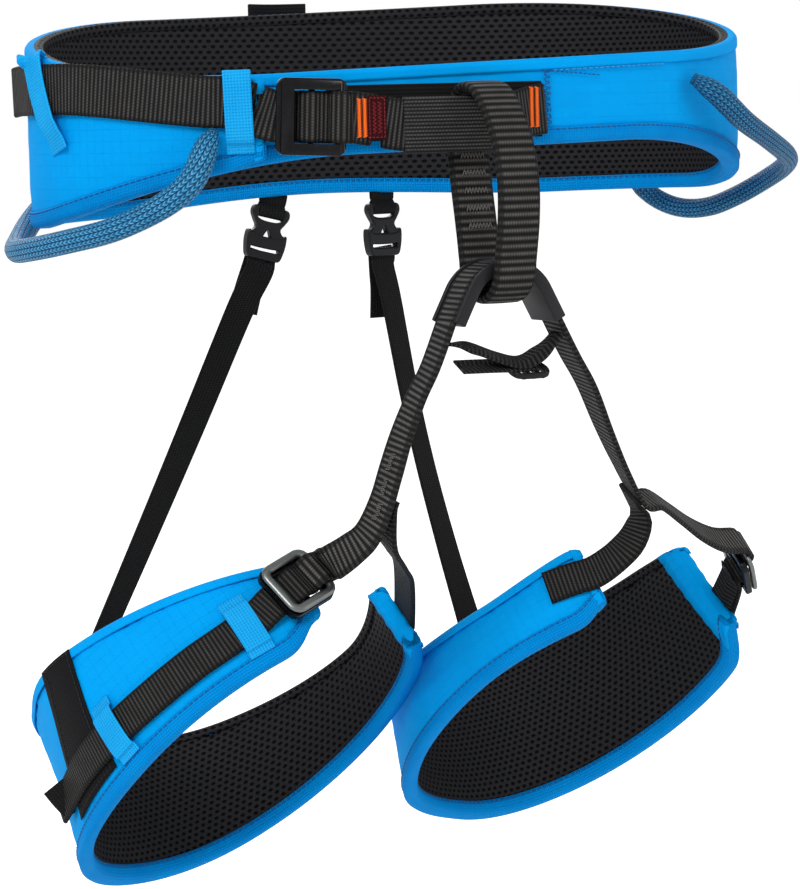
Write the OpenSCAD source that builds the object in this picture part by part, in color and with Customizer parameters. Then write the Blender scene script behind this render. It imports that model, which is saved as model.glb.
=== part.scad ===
// Climbing harness: waist belt with a slide buckle, belay loop, two leg loops hung
// on a guarded webbing ring, elastic risers with release clips, and two gear loops.
// Origin: centre of the waist opening at mid height. Front is -Y, up is +Z.
// "right" and "left" are the wearer's sides, so right is -X.

/* [Waist belt] */
// Outer width of the belt, side to side
waist_w = 350; // [320:5:380]
// Outer depth of the belt, front to back
waist_d = 206; // [190:2:226]
// Thickness of the padded belt
belt_thick = 8.4; // [7:0.2:10]
// Height of the top edge at the front, above the origin
front_rise = 20; // [17:1:23]
// Height of the top edge at the back, above the origin
back_rise = 48; // [42:1:56]
// Drop of the bottom edge at the front, below the origin
front_drop = 17; // [15:1:20]
// Drop of the bottom edge at the hips, below the origin
hip_drop = 44; // [38:1:50]
// Height of the folded edge binding of the belt
binding_h = 6; // [4:0.5:8]
// Thickness of the outer fabric of the pads
cover_thick = 1.4; // [1:0.1:2]
// Thickness of the mesh lining of the pads
lining_thick = 1.6; // [1:0.1:2]

/* [Webbing] */
// Width of the waist webbing
waist_web_w = 22; // [20:1:24]
// Width of the leg webbing
leg_web_w = 16; // [14:1:18]
// Thickness of the load webbing
web_thick = 2.2; // [1.6:0.2:2.6]
// Width of the belay loop
belay_w = 20; // [18:1:22]
// Thickness of the belay loop
belay_thick = 4.5; // [3.5:0.5:5.5]
// Inner radius of the bottom bend of the belay loop
belay_bend = 12.8; // [12:0.4:15]
// Width of the elastic risers
riser_w = 15; // [12:1:16]
// Thickness of the elastic risers
riser_thick = 1.4; // [1:0.2:2]
// Width of the elastic keepers
keeper_w = 10; // [8:1:14]

/* [Buckles] */
// Side rail of a slide buckle, beside the webbing
rail_w = 5.2; // [4:0.2:6.5]
// Length of the waist buckle along the webbing
waist_buckle_len = 30; // [28:1:34]
// Length of a leg buckle along the webbing
leg_buckle_len = 25; // [23:1:28]
// Thickness of a buckle plate
plate_thick = 2.8; // [2.2:0.2:3.4]
// Radius of the round bar of the upper buckle frame
bar_r = 1.5; // [1.2:0.1:1.8]

/* [Leg loops] */
// Half width of a leg loop, side to side
leg_half_w = 82.5; // [76:0.5:90]
// Half depth of a leg loop, front to back
leg_half_d = 97; // [90:1:104]
// Thickness of the leg pads
leg_thick = 7; // [6:0.2:9]
// Height of the leg pads where they are narrowest
leg_narrow = 32; // [28:1:38]
// Height of the leg pads where they are widest
leg_wide = 78; // [68:1:86]
// Height of the folded edge binding of the leg pads
leg_binding = 5; // [4:0.5:7]

/* [Webbing ring and guard] */
// Radius of the saddle of the ring guard
guard_r = 17; // [15:0.5:20]
// Thickness of the guard wall
guard_wall = 2.8; // [2.2:0.2:3.4]
// Length of each straight foot of the guard
guard_foot = 15; // [10:1:18]

/* [Risers and gear loops] */
// Width of a rear release clip
clip_w = 20; // [18:1:24]
// Thickness of a rear release clip
clip_thick = 6; // [5:0.5:8]
// Diameter of the gear loop cord
gear_d = 9; // [7:0.5:10]

/* [Hidden] */
fit = 0.3;
leg_flare = 4.5;
leg_taper = 0.35;
leg_curl = 0.0017;
lean_from = 30;
seat = 0.15;
seam = 0.1;
$fn = 48;

belt_a = waist_w/2;
belt_b = waist_d/2;
lap_in = -50;
lap_out = 323;
lap_gap = 0.8;
tuck_in = belt_thick + lap_gap;
top_lean = 6;
low_lean = 3.5;

// wearer's right leg, then wearer's left leg:
// [side, centre, tilt, toe, outer pad end, inner pad end, buckle turn, buckle height, strap end turn,
//  lean of the inner side, rise of the inner pad end, cut of its lower corner,
//  turn where the outer side starts to flare]
RIGHT = [-1, [-leg_half_w - 6.5, -22, -287], 44, 19, 13, 314, 17, 25, 118, 0, 6, 3, 80];
LEFT = [1, [leg_half_w - 4, -29, -280.5], 41, 8, 66, 333, 50, 29, 132, 0.27, 4, 6, 45];

// ---------- general helpers ----------

function unit(v) = v/norm(v);
function mix(a, b, k) = a*(1 - k) + b*k;
function ease(from, to, x) = let (k = min(1, max(0, (x - from)/(to - from)))) k*k*(3 - 2*k);
function steps(from, to, count) = [for (i = [0:count]) from + (to - from)*i/count];
function sum(list, i = 0) = i < len(list) - 1 ? list[i] + sum(list, i + 1) : list[i];
function middle(ring) = sum(ring)/len(ring);
function ring_normal(r) = sum([for (i = [0:len(r) - 1]) cross(r[i] - r[0], r[(i + 1) % len(r)] - r[0])]);

// a smooth curve through the listed points, with "count" steps between neighbours
function curve(p, count) = [
    for (i = [0:len(p) - 2], k = [0:count - 1])
        let (a = p[max(0, i - 1)], b = p[i], c = p[i + 1], d = p[min(len(p) - 1, i + 2)], t = k/count)
            0.5*(2*b + (c - a)*t + (2*a - 5*b + 4*c - d)*t*t + (3*b - a - 3*c + d)*t*t*t),
    p[len(p) - 1]
];
function along(p, i) = unit(p[min(i + 1, len(p) - 1)] - p[max(i - 1, 0)]);

// one closed skin over a row of rings with the same number of points; each four-cornered
// patch is split along its shorter diagonal, so that layers that share a face match
module skin(rings, loop = false) {
    n = len(rings[0]);
    last = len(rings) - 1;
    flow = middle(rings[1]) - middle(rings[0]);
    turned = ring_normal(rings[0])*flow > 0;
    pts = [for (r = rings) each (turned ? r : [for (i = [n - 1:-1:0]) r[i]])];
    sides = [
        for (i = [0:(loop ? last : last - 1)], j = [0:n - 1])
            let (a = i*n + j, b = i*n + (j + 1) % n, c = ((i + 1) % (last + 1))*n + (j + 1) % n,
                d = ((i + 1) % (last + 1))*n + j)
                each norm(pts[a] - pts[c]) < norm(pts[b] - pts[d]) ?
                    [[a, c, b], [a, d, c]] : [[a, d, b], [b, d, c]]
    ];
    caps = loop ? [] : [[for (j = [0:n - 1]) j], [for (j = [n - 1:-1:0]) last*n + j]];
    polyhedron(points = pts, faces = concat(sides, caps), convexity = 6);
}

// a flat strap: p is its centre line, across the direction of its width at each point
module strap(p, across, w, t) {
    skin([
        for (i = [0:len(p) - 1])
            let (a = across[i], n = unit(cross(along(p, i), a)), s = unit(cross(n, along(p, i))))
                [p[i] + s*w/2 + n*t/2, p[i] - s*w/2 + n*t/2, p[i] - s*w/2 - n*t/2, p[i] + s*w/2 - n*t/2]
    ]);
}
module cord(p, d, sides = 10) {
    skin([
        for (i = [0:len(p) - 1])
            let (t = along(p, i), u = unit(cross(t, [0, 0.2, 1])), v = cross(t, u))
                [for (j = [0:sides - 1]) p[i] + (u*cos(360*j/sides) + v*sin(360*j/sides))*d/2]
    ]);
}
module rounded(w, h, r) {
    square([w, h - 2*r], center = true);
    square([w - 2*r, h], center = true);
    for (x = [-1, 1], y = [-1, 1]) translate([x*(w/2 - r), y*(h/2 - r)]) circle(r);
}

// ---------- places on the waist belt ----------
// t is the turn from the front centre towards the wearer's left; out is measured
// outwards from the fabric. The wearer's left end of the pad tucks under the right end.

function tuck(t) = tuck_in*(1 - ease(-20, 30, t));
function belt_normal(t) = unit([sin(t)/belt_a, -cos(t)/belt_b, 0]);
function belt_at(t, out, z) = [belt_a*sin(t), -belt_b*cos(t), z] + belt_normal(t)*out;
function pad_at(t, out, z) = belt_at(t, out - tuck(t), z);
function from_front(t) = abs(t > 180 ? t - 360 : t);
function top_z(t) = mix(front_rise, back_rise, ease(35, 150, from_front(t))) + top_lean*sin(t);
function low_z(t) = -mix(front_drop, hip_drop, ease(22, 98, from_front(t))) + 5*ease(135, 180, from_front(t))
    + low_lean*sin(t);
belt_turns = steps(lap_in, lap_out, 54);
function end_trim(t) = 2.5*(1 - ease(0, 6, lap_out - t)) + 2.5*(1 - ease(0, 6, t - lap_in));

// a layer of the belt between two depths, measured inwards from the outer fabric
module belt_layer(near, far) {
    skin([
        for (t = belt_turns)
            let (z1 = top_z(t) - binding_h - end_trim(t) - seam,
                z0 = low_z(t) + binding_h + end_trim(t) + seam)
                [pad_at(t, -near, z1), pad_at(t, -near, z0), pad_at(t, -far, z0), pad_at(t, -far, z1)]
    ]);
}
// a folded edge: up is 1 on the top edge and -1 on the bottom edge
module belt_binding(up) {
    skin([
        for (t = belt_turns)
            let (z = (up > 0 ? top_z(t) : low_z(t)) - up*end_trim(t), r = belt_thick)
                [pad_at(t, 0, z - up*binding_h), pad_at(t, 0, z - up*1.6), pad_at(t, -r*0.25, z),
                    pad_at(t, -r*0.75, z), pad_at(t, -r, z - up*1.6), pad_at(t, -r, z - up*binding_h)]
    ]);
}
web_in = cover_thick + web_thick;
module waist_cover() { color("deepskyblue") belt_layer(0, cover_thick); }
module waist_lining() { color([0.08, 0.08, 0.1]) belt_layer(belt_thick - lining_thick, belt_thick); }
module waist_foam() { color("dimgray") belt_layer(web_in, belt_thick - lining_thick); }
module waist_top_binding() { color("dodgerblue") belt_binding(1); }
module waist_bottom_binding() { color("dodgerblue") belt_binding(-1); }

// the hidden load webbing between cover and foam, from the front slit round the back
slit_turn = 8;
module waist_webbing() {
    color([0.2, 0.2, 0.2]) skin([
        for (t = [for (t = belt_turns) if (t > slit_turn && t < lap_out - 5) t])
            let (z1 = belt_web_z(t) + waist_web_w/2, z0 = belt_web_z(t) - waist_web_w/2)
                [pad_at(t, -cover_thick, z1), pad_at(t, -cover_thick, z0), pad_at(t, -web_in, z0),
                    pad_at(t, -web_in, z1)]
    ]);
}
function belt_web_z(t) = mix(1.5, -0.7, ease(180, 320, t));

// ---------- slide buckles ----------
// local frame: x along the webbing towards the tail, y across it, z away from the body

function buckle_w(web_w) = web_w + 2*rail_w;
base_z = web_thick + 2*fit;
frame_z = base_z + plate_thick + fit;
end_bar = 5.2;
module window_plate(len, w, hole_len, hole_w, thick) {
    linear_extrude(thick) difference() {
        rounded(len, w, 4);
        rounded(hole_len, hole_w, 1);
    }
}
module buckle_base(web_w, len) {
    translate([0.5, 0, base_z]) {
        window_plate(len, buckle_w(web_w), len - 9, web_w + 2*fit, plate_thick);
        translate([-1.1, -web_w/2 - 1, 0]) cube([2.2, web_w + 2, plate_thick - 0.8]);
    }
}
module buckle_frame(web_w, len) {
    w = buckle_w(web_w) - 1.4;
    half = len/2 - 1.5;
    side = (w - web_w)/2 - fit;
    translate([0, 0, frame_z]) {
        translate([-half + bar_r, w/2 - 0.5, bar_r]) rotate([90, 0, 0]) cylinder(h = w - 1, r = bar_r);
        for (y = [-1, 1]) translate([0, y*(w/2 - side/2), 0]) linear_extrude(plate_thick)
            translate([bar_r/2, 0]) square([2*half - bar_r, side], center = true);
        translate([half - end_bar/2, 0, 0]) linear_extrude(plate_thick) rounded(end_bar, w, 1.6);
    }
}
// the run of the webbing over, under, over and under the bars, as [along, height] pairs
function buckle_run(len) = let (h = web_thick/2, top = frame_z + 2*bar_r + h + fit, x = len/2 - 3,
    plate_z = base_z + plate_thick) [
    [-x - 6.5, plate_z + 1.5], [-x - 3.3, top - 1.7], [-x, top], [-x + 3.3, top - 1.7],
    [-x + 4.8, plate_z - 0.6],
    [-2.6, plate_z - 0.1], [0.5, plate_z + 1], [3.6, plate_z - 0.2], [5.4, base_z + 0.6], [7.4, h + fit],
    [x + 4, h + fit]
];
// a frame of axes at a place: x towards "ahead", z along "normal"
module placed(at, ahead, normal) {
    y = unit(cross(normal, ahead));
    x = unit(cross(y, normal));
    multmatrix([[x.x, y.x, normal.x, at.x], [x.y, y.y, normal.y, at.y], [x.z, y.z, normal.z, at.z],
        [0, 0, 0, 1]]) children();
}
function buckle_across(ahead, normal) = unit(cross(normal, ahead));
function put(at, ahead, normal, p) = let (y = unit(cross(normal, ahead)), x = unit(cross(y, normal)))
    at + x*p[0] + y*p[1] + normal*p[2];

// ---------- waist strap, buckle and tie-in ----------

waist_buckle_turn = -30;
waist_buckle_at = belt_at(waist_buckle_turn, 1, -2);
waist_buckle_normal = belt_normal(waist_buckle_turn);
waist_ahead = [-1, 0.35, 0.05];
strap_out = web_thick/2 + fit;
tie_out = 8.4;
tie_z = -6.5;

// sewn to the cover at the front, standing off as the tie-in, through the buckle, to the tail
function tie_line(t) = let (k = ease(-5, slit_turn - 1, t)) belt_at(t, tie_out - 10*k, mix(tie_z, -1, k));
waist_run = concat(
    [for (t = [slit_turn - 1.5, 4, 1, -2, -5, -9, -13, -17]) tie_line(t)],
    [for (q = buckle_run(waist_buckle_len))
        put(waist_buckle_at, waist_ahead, waist_buckle_normal, [q[0], 0, q[1]])],
    [for (t = steps(-42, -96, 12)) belt_at(t, strap_out + 0.1, belt_strap_z(t))],
    [belt_at(-101, strap_out + 1.2, 12.5), belt_at(-105, strap_out + 3.6, 12)]
);
module waist_strap() {
    p = curve(waist_run, 3);
    across = curve(concat([for (i = [0:7]) [0, 0, 1]],
        [for (i = [0:10]) buckle_across(waist_ahead, waist_buckle_normal)], [for (i = [0:14]) [0, 0, 1]]), 3);
    color([0.22, 0.22, 0.22]) strap(p, across, waist_web_w, web_thick);
}
// short flat webbing under the strap that holds the tail bar of a buckle base to its pad;
// local places are [along, height]
anchor_thick = 0.8;
function anchor_line(len, drop) = let (x = len/2 - 1.5, h = anchor_thick/2)
    [[x - 6, -h], [x - 2, -h], [x + 2, -drop]];
module buckle_anchor() {
    p = curve(concat([for (q = anchor_line(waist_buckle_len, anchor_thick))
        put(waist_buckle_at, waist_ahead, waist_buckle_normal, [q[0], 0, q[1]])],
        [belt_at(lap_out - 360 - 0.8, anchor_thick/2 + seat, -2)]), 3);
    color([0.2, 0.2, 0.2]) strap(p, [for (q = p) [0, 0, 1]], waist_web_w - 2, anchor_thick);
}
module waist_buckle_base() {
    color([0.2, 0.2, 0.21]) placed(waist_buckle_at, waist_ahead, waist_buckle_normal)
        buckle_base(waist_web_w, waist_buckle_len);
}
module waist_buckle_frame() {
    color([0.26, 0.27, 0.27]) placed(waist_buckle_at, waist_ahead, waist_buckle_normal)
        buckle_frame(waist_web_w, waist_buckle_len);
}
protector_thick = 0.8;
module protector_body(from, to, grow) {
    p = [for (t = steps(from, to, 8)) tie_line(t)];
    strap(p, [for (q = p) [0, 0, 1]], waist_web_w + 2*grow + 0.4, web_thick + 2*grow + 0.8);
}
module tie_in_protector() {
    color([0.28, 0.27, 0.26]) difference() {
        protector_body(-17, -3, protector_thick);
        protector_body(-18.5, -1.5, 0);
    }
}
module tie_in_patch() {
    turns = steps(-27, slit_turn - 1.5, 10);
    p = [for (t = turns) pad_at(t, 0.4 + seat, -1)];
    color([0.1, 0.1, 0.1]) strap(p, [for (t = turns) [0, 0, 1]], 2*front_drop - 10, 0.8);
}
// elastic keepers sewn to the pad above and below the tail of the waist strap
module belt_keeper(t_top, t_low, top_line, foot) {
    half = waist_web_w/2 + 1.5;
    h = belt_strap_z(mix(t_top, t_low, 0.5));
    line = concat(top_line, [[0.25, keeper_lift, min(h + half + 0.2, top_z(t_top) + 0.4)],
        [0.5, keeper_lift + 0.4, h],
        [0.8, keeper_lift, h - half - 1.4], [0.9, foot + 0.4, h - half - 3.6], [1, foot, h - half - 6]]);
    p = curve([for (q = line) belt_at(mix(t_top, t_low, q[0]), q[1], q[2])], 3);
    turns = curve([for (q = line) [mix(t_top, t_low, q[0]), 0, 0]], 3);
    strap(p, [for (q = turns) belt_along(q.x)], keeper_w, 1);
}
keeper_lift = web_thick + 2*fit + 1;
function belt_along(t) = unit([belt_a*cos(t), belt_b*sin(t), 0]);
function belt_strap_z(t) = mix(12.5, 3, ease(-80, -30, t));
// the front keeper folds over the top edge, the side keeper is sewn below it
module front_keeper() {
    color([0.1, 0.6, 0.95]) belt_keeper(-41.5, -41,
        [[0, -3.5, top_z(-41.5) + 0.9], [0.05, -1, top_z(-41.5) + 1], [0.12, 1.6, top_z(-41.5) + 1]], 0.6);
}
module side_keeper() {
    color([0.1, 0.6, 0.95]) belt_keeper(-92, -84,
        [[0, 0.85 + seat, top_z(-92) - 0.4], [0.1, 1.9, top_z(-92) - 1.1]], 1.2);
}
module haul_loop() {
    turns = [187.5, 186, 184, 182.5, 181, 179, 177.5];
    lifts = [0, 2.4, 5, 5.6, 5, 2.4, 0];
    p = [for (i = [0:6]) belt_at(turns[i], 0.8 + seat + lifts[i], back_rise - 2)];
    color([0.12, 0.12, 0.12]) strap(p, [for (q = p) [0, 0, 1]], 14, 1.6);
}

// ---------- gear loops ----------

// each place is [turn about the belt, distance out, height]; the rim of both ends meets the
// cover, so the ends lie as far out as their slant to it asks
right_gear_path = [[-48, 1.9, -13], [-47.5, 9.5, -17], [-48.5, 14.5, -27], [-53, 16, -37],
    [-61.5, 16, -46.5], [-74, 13, -52.5], [-87, 11, -56], [-98, 7.5, -56.5], [-108, 6, -53.5],
    [-118, 6, -45.5],
    [-127, 4.5, -34]];
left_gear_path = [[37, 3.3, 11], [40, 11, 3.5], [46.5, 15, -8.5], [57, 18, -18], [68.5, 22.5, -25.5],
    [76.5, 24, -30.5], [84.5, 21.5, -37], [92, 15.5, -45], [99.5, 12, -50.5], [107, 11.5, -51],
    [113, 11, -46], [117.5, 3.9, -35.5]];
module gear_loop(path) {
    cord(curve([for (q = path) belt_at(q[0], q[1], q[2])], 3), gear_d);
}
module right_gear_loop() { color([0.1, 0.4, 0.6]) gear_loop(right_gear_path); }
module left_gear_loop() { color([0.1, 0.35, 0.5]) gear_loop(left_gear_path); }

// ---------- belay loop ----------
// drawn in the Y-Z plane and pulled out along X; its bottom bend is a true half circle

belay_x = -18;
bend_y = -belt_b - 20;
bend_z = -65.5;
belay_line = curve([
    for (q = [[15, bend_z], [17.5, -50], [20.5, -35], [23, -20], [23.3, -8], [21, 2.8], [16, 7.9], [9.5, 9.2],
        [1.5, 6.4], [-7.5, -2.5], [-15, -15], [-19, -31], [-18.5, -48], [-15, bend_z]])
        [bend_y + q[0], q[1]]
], 4);
function line_normal(p, i) = let (d = along(p, i)) [d[1], -d[0]];
bend_mid = belay_bend + belay_thick/2;
// the two strands are fitted to the width of the bend at their lower ends
belay_centre = [
    for (q = belay_line)
        let (k = ease(-20, bend_z, q[1]), side = q[0] < bend_y ? -1 : 1, nominal = bend_y + side*15)
            [q[0] + k*(bend_y + side*bend_mid - nominal), q[1]]
];
function belay_edge(off) = let (last = len(belay_centre) - 1) concat(
    [[bend_y + bend_mid + off, bend_z]],
    [for (i = [1:last - 1]) belay_centre[i] + line_normal(belay_centre, i)*off],
    [[bend_y - bend_mid - off, bend_z]]
);
module belay_shape(off) {
    polygon(belay_edge(off));
    intersection() {
        translate([bend_y, bend_z]) circle(belay_bend + (off > 0 ? belay_thick : 0));
        translate([bend_y - 30, bend_z - 30]) square([60, 30.01]);
    }
}
module belay_loop() {
    color([0.3, 0.29, 0.28])
        translate([belay_x - belay_w/2, 0, 0]) rotate([90, 0, 90]) linear_extrude(belay_w) difference() {
            belay_shape(belay_thick/2);
            belay_shape(-belay_thick/2);
        }
}

// ---------- ring guard and leg webbing ----------
// the guard is a saddle whose edge corners rest inside the bend of the belay loop

guard_half = leg_web_w/2 + 2.6;
saddle_side = sqrt(guard_r*guard_r - belay_w*belay_w/4);
contact_drop = sqrt(pow(belay_bend - seat, 2) - guard_half*guard_half);
guard_z = bend_z - contact_drop - saddle_side;
guard_turn = 62;
channel_floor = guard_r + guard_wall;
module guard_section() {
    translate([guard_r, -guard_half]) square([guard_wall, 2*guard_half]);
    for (s = [-1, 1]) translate([guard_r, s*(guard_half - 1) - 1]) square([guard_wall + web_thick + 0.6, 2]);
}
module guard_leg() {
    rotate([0, 0, 90 - guard_turn]) rotate([90, 0, 0]) linear_extrude(guard_foot) guard_section();
}
module ring_guard() {
    color([0.13, 0.13, 0.14]) translate([belay_x, bend_y, guard_z]) rotate([90, 0, 0]) {
        rotate([0, 0, 90 - guard_turn]) rotate_extrude(angle = 2*guard_turn, $fn = 96) guard_section();
        guard_leg();
        mirror([1, 0, 0]) guard_leg();
    }
}
web_r = channel_floor + web_thick/2 + 0.1;
function ring_point(turn, side, foot = 0) =
    [belay_x + side*(web_r*sin(turn) + foot*cos(turn)), bend_y, guard_z + web_r*cos(turn) - foot*sin(turn)];

// ---------- places on the leg loops ----------
// the outer side of each pad flares at its lower edge and leans in above it, and the inner
// side of the wearer's left pad leans by its own amount
// phi is the turn from the front of the leg towards its outer side, s the height on the
// pad above its lower edge, out the distance outwards from the fabric

function leg_x(leg) = [cos(leg[3]), sin(leg[3]), 0];
function leg_y(leg) = [-sin(leg[3])*cos(leg[2]), cos(leg[3])*cos(leg[2]), -sin(leg[2])];
function leg_up(leg) = [-sin(leg[3])*sin(leg[2]), cos(leg[3])*sin(leg[2]), cos(leg[2])];
function leg_out(leg, phi) = let (t = leg[0]*phi, n = unit([sin(t)/leg_half_w, -cos(t)/leg_half_d]))
    leg_x(leg)*n[0] + leg_y(leg)*n[1];
function leg_at(leg, phi, s, out) = let (t = leg[0]*phi)
    leg[1] + leg_x(leg)*leg_half_w*sin(t) - leg_y(leg)*leg_half_d*cos(t) + leg_up(leg)*s
        + leg_out(leg, phi)*(out - leg_lean(leg, phi, s));
function leg_lean(leg, phi, s) =
    (leg_taper*s - leg_flare - leg_curl*s*s)*ease(leg[12], leg[12] + 45, phi)*(1 - ease(170, 230, phi))
    + leg[9]*(s - lean_from)*ease(195, 235, phi)*(1 - ease(290, 330, phi));
function leg_height(phi) = mix(leg_narrow, leg_wide, 0.5 + 0.5*cos(phi - 145));
function leg_turns(leg) = steps(leg[4], leg[5], 40);
// the lower corner of each pad end is cut back in a curve
function leg_low(leg, phi) = 11*pow(1 - ease(0, 20, phi - leg[4]), 2)
    + leg[11]*pow(1 - ease(0, 14, leg[5] - phi), 2);
function leg_high(leg, phi) = leg_height(phi) - 2*pow(1 - ease(0, 5, phi - leg[4]), 2)
    - 2*pow(1 - ease(0, 5, leg[5] - phi), 2) + leg[10]*(1 - ease(0, 35, leg[5] - phi));
module leg_layer(leg, near, far) {
    skin([
        for (phi = leg_turns(leg))
            let (s1 = leg_high(leg, phi) - leg_binding - seam, s0 = leg_low(leg, phi) + leg_binding + seam)
                [for (s = steps(s1, s0, 4)) leg_at(leg, phi, s, -near),
                    for (s = steps(s0, s1, 4)) leg_at(leg, phi, s, -far)]
    ]);
}
module leg_edge(leg, up) {
    skin([
        for (phi = leg_turns(leg))
            let (s = up > 0 ? leg_high(leg, phi) : leg_low(leg, phi), r = leg_thick)
                [leg_at(leg, phi, s - up*leg_binding, 0), leg_at(leg, phi, s - up*1.4, 0),
                    leg_at(leg, phi, s, -r*0.25), leg_at(leg, phi, s, -r*0.75),
                    leg_at(leg, phi, s - up*1.4, -r), leg_at(leg, phi, s - up*leg_binding, -r)]
    ]);
}
module leg_cover(leg) { color("deepskyblue") leg_layer(leg, 0, cover_thick); }
module leg_foam(leg) { color("dimgray") leg_layer(leg, cover_thick, leg_thick - lining_thick); }
module leg_lining(leg) { color([0.08, 0.08, 0.1]) leg_layer(leg, leg_thick - lining_thick, leg_thick); }
module leg_top_binding(leg) { color("dodgerblue") leg_edge(leg, 1); }
module leg_bottom_binding(leg) { color("dodgerblue") leg_edge(leg, -1); }

// ---------- leg buckles, straps and keepers ----------

buckle_out = 1.2;
function leg_strap_s(leg, phi) = leg[7] - 6*ease(leg[6], leg[6] + 22, phi) + 4*ease(60, 115, phi);
function leg_buckle_at(leg) = leg_at(leg, leg[6], leg[7], buckle_out);
function leg_ahead(leg) = let (phi = leg[6] + 9)
    leg_at(leg, phi, leg_strap_s(leg, phi), buckle_out) - leg_buckle_at(leg);
function buckle_rise(leg) = buckle_across(leg_ahead(leg), leg_out(leg, leg[6]))*leg[0];
module leg_buckle_base(leg) {
    color([0.18, 0.18, 0.19]) placed(leg_buckle_at(leg), leg_ahead(leg), leg_out(leg, leg[6]))
        buckle_base(leg_web_w, leg_buckle_len);
}
module leg_buckle_frame(leg) {
    color([0.45, 0.47, 0.46]) placed(leg_buckle_at(leg), leg_ahead(leg), leg_out(leg, leg[6]))
        buckle_frame(leg_web_w, leg_buckle_len);
}
function leg_buckle_line(leg) = [
    for (q = buckle_run(leg_buckle_len))
        put(leg_buckle_at(leg), leg_ahead(leg), leg_out(leg, leg[6]), [q[0], 0, q[1]])
];
function leg_tail_turns(leg) = steps(leg[6] + 15, leg[8], 9);
function leg_tail_line(leg) = [
    for (phi = leg_tail_turns(leg))
        leg_at(leg, phi, leg_strap_s(leg, phi), strap_out + 0.1 + 3*ease(leg[8] - 8, leg[8], phi))
];
// the strap runs from the sewn joint on the leg webbing through the buckle to its tail
function joint_of(leg) = leg[0] < 0 ? [-69.5, bend_y + 14, -166] : [67, bend_y + 27, -175];
function approach(leg) = leg[0] < 0 ?
    [joint_of(leg) + [-1, 1, -1.5], [-75, -106, -179], [-85, -97, -189]] :
    [joint_of(leg) + [4.2, 1, 0], [87, -84, -176], [110, -70, -190]];
// the direction up the face of a pad
function leg_rise(leg, phi, s) = unit(leg_at(leg, phi, s + 4, 0) - leg_at(leg, phi, s - 4, 0));
module leg_strap(leg) {
    turns = leg_tail_turns(leg);
    p = curve(concat(approach(leg), leg_buckle_line(leg), leg_tail_line(leg)), 3);
    across0 = web_across(leg);
    face = [for (phi = turns) leg_rise(leg, phi, leg_strap_s(leg, phi))];
    in_buckle = buckle_rise(leg);
    across = curve(concat([for (k = [0, 0.25, 0.6]) mix(across0, in_buckle, k)],
        [for (q = leg_buckle_line(leg)) in_buckle], face), 3);
    color([0.2, 0.2, 0.2]) strap(p, [for (a = across) unit(a)], leg_web_w, web_thick);
}
function web_across(leg) = unit([0, 1, 0.25] + leg_up(leg)*0.7);
function ring_end(leg) = ring_point(guard_turn, leg[0], guard_foot);
function down_line(leg) = leg[0] < 0 ?
    [ring_end(leg), [-50, bend_y + 3, -108], [-56, bend_y + 6, -121.5], [-61.5, bend_y + 9, -137],
        [-66, bend_y + 11, -152], joint_of(leg)] :
    [ring_end(leg), [18, bend_y + 3, -106], [29, bend_y + 7, -121], [41, bend_y + 13, -141],
        [53, bend_y + 19, -159], joint_of(leg)];
module leg_webbing() {
    p1 = curve(down_line(RIGHT), 3);
    p2 = curve(down_line(LEFT), 3);
    over = [for (a = steps(-guard_turn, guard_turn, 12)) ring_point(abs(a), a < 0 ? -1 : 1)];
    n1 = len(p1) - 1;
    n2 = len(p2) - 1;
    p = concat([for (i = [n1:-1:0]) p1[i]], over, p2);
    across = concat(
        [for (i = [n1:-1:0]) unit(mix([0, 1, 0], web_across(RIGHT), ease(2, n1, i)))],
        [for (q = over) [0, 1, 0]],
        [for (i = [0:n2]) unit(mix([0, 1, 0], web_across(LEFT), ease(2, n2, i)))]);
    color([0.3, 0.29, 0.28]) strap(p, across, leg_web_w, web_thick);
}
// sewn under the leg webbing above the joint, then led to the inner end of the pad
module inner_strap(leg) {
    above = curve(down_line(leg), 3);
    n = len(above) - 1;
    joint = joint_of(leg);
    flat = unit(cross(joint - above[n - 2], web_across(leg)));
    under = flat*(flat*[-leg[0], 0, 0] > 0 ? 1 : -1)*(web_thick + 0.6);
    start = [above[n - 2] + under, above[n - 1] + under, joint + under*1.1];
    target = leg[5] - 5;
    path = leg[0] < 0 ?
        [[-64.5, -104, -182], [-51, -87, -193], [-36, -65, -203]] :
        [[64, -94, -187], [54, -90, -199]];
    ends = [for (phi = [target + 5.5, target - 1, target - 9])
        leg_at(leg, phi, 20 + (target + 5.5 - phi)*0.2, strap_out + leg[0]*0.1)];
    p = curve(concat(start, path, ends), 4);
    m = len(p) - 1;
    color([0.2, 0.2, 0.2])
        strap(p, [for (i = [0:m]) unit(mix(web_across(leg), leg_up(leg), ease(8, m - 6, i)))],
            leg_web_w, web_thick);
}
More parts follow.
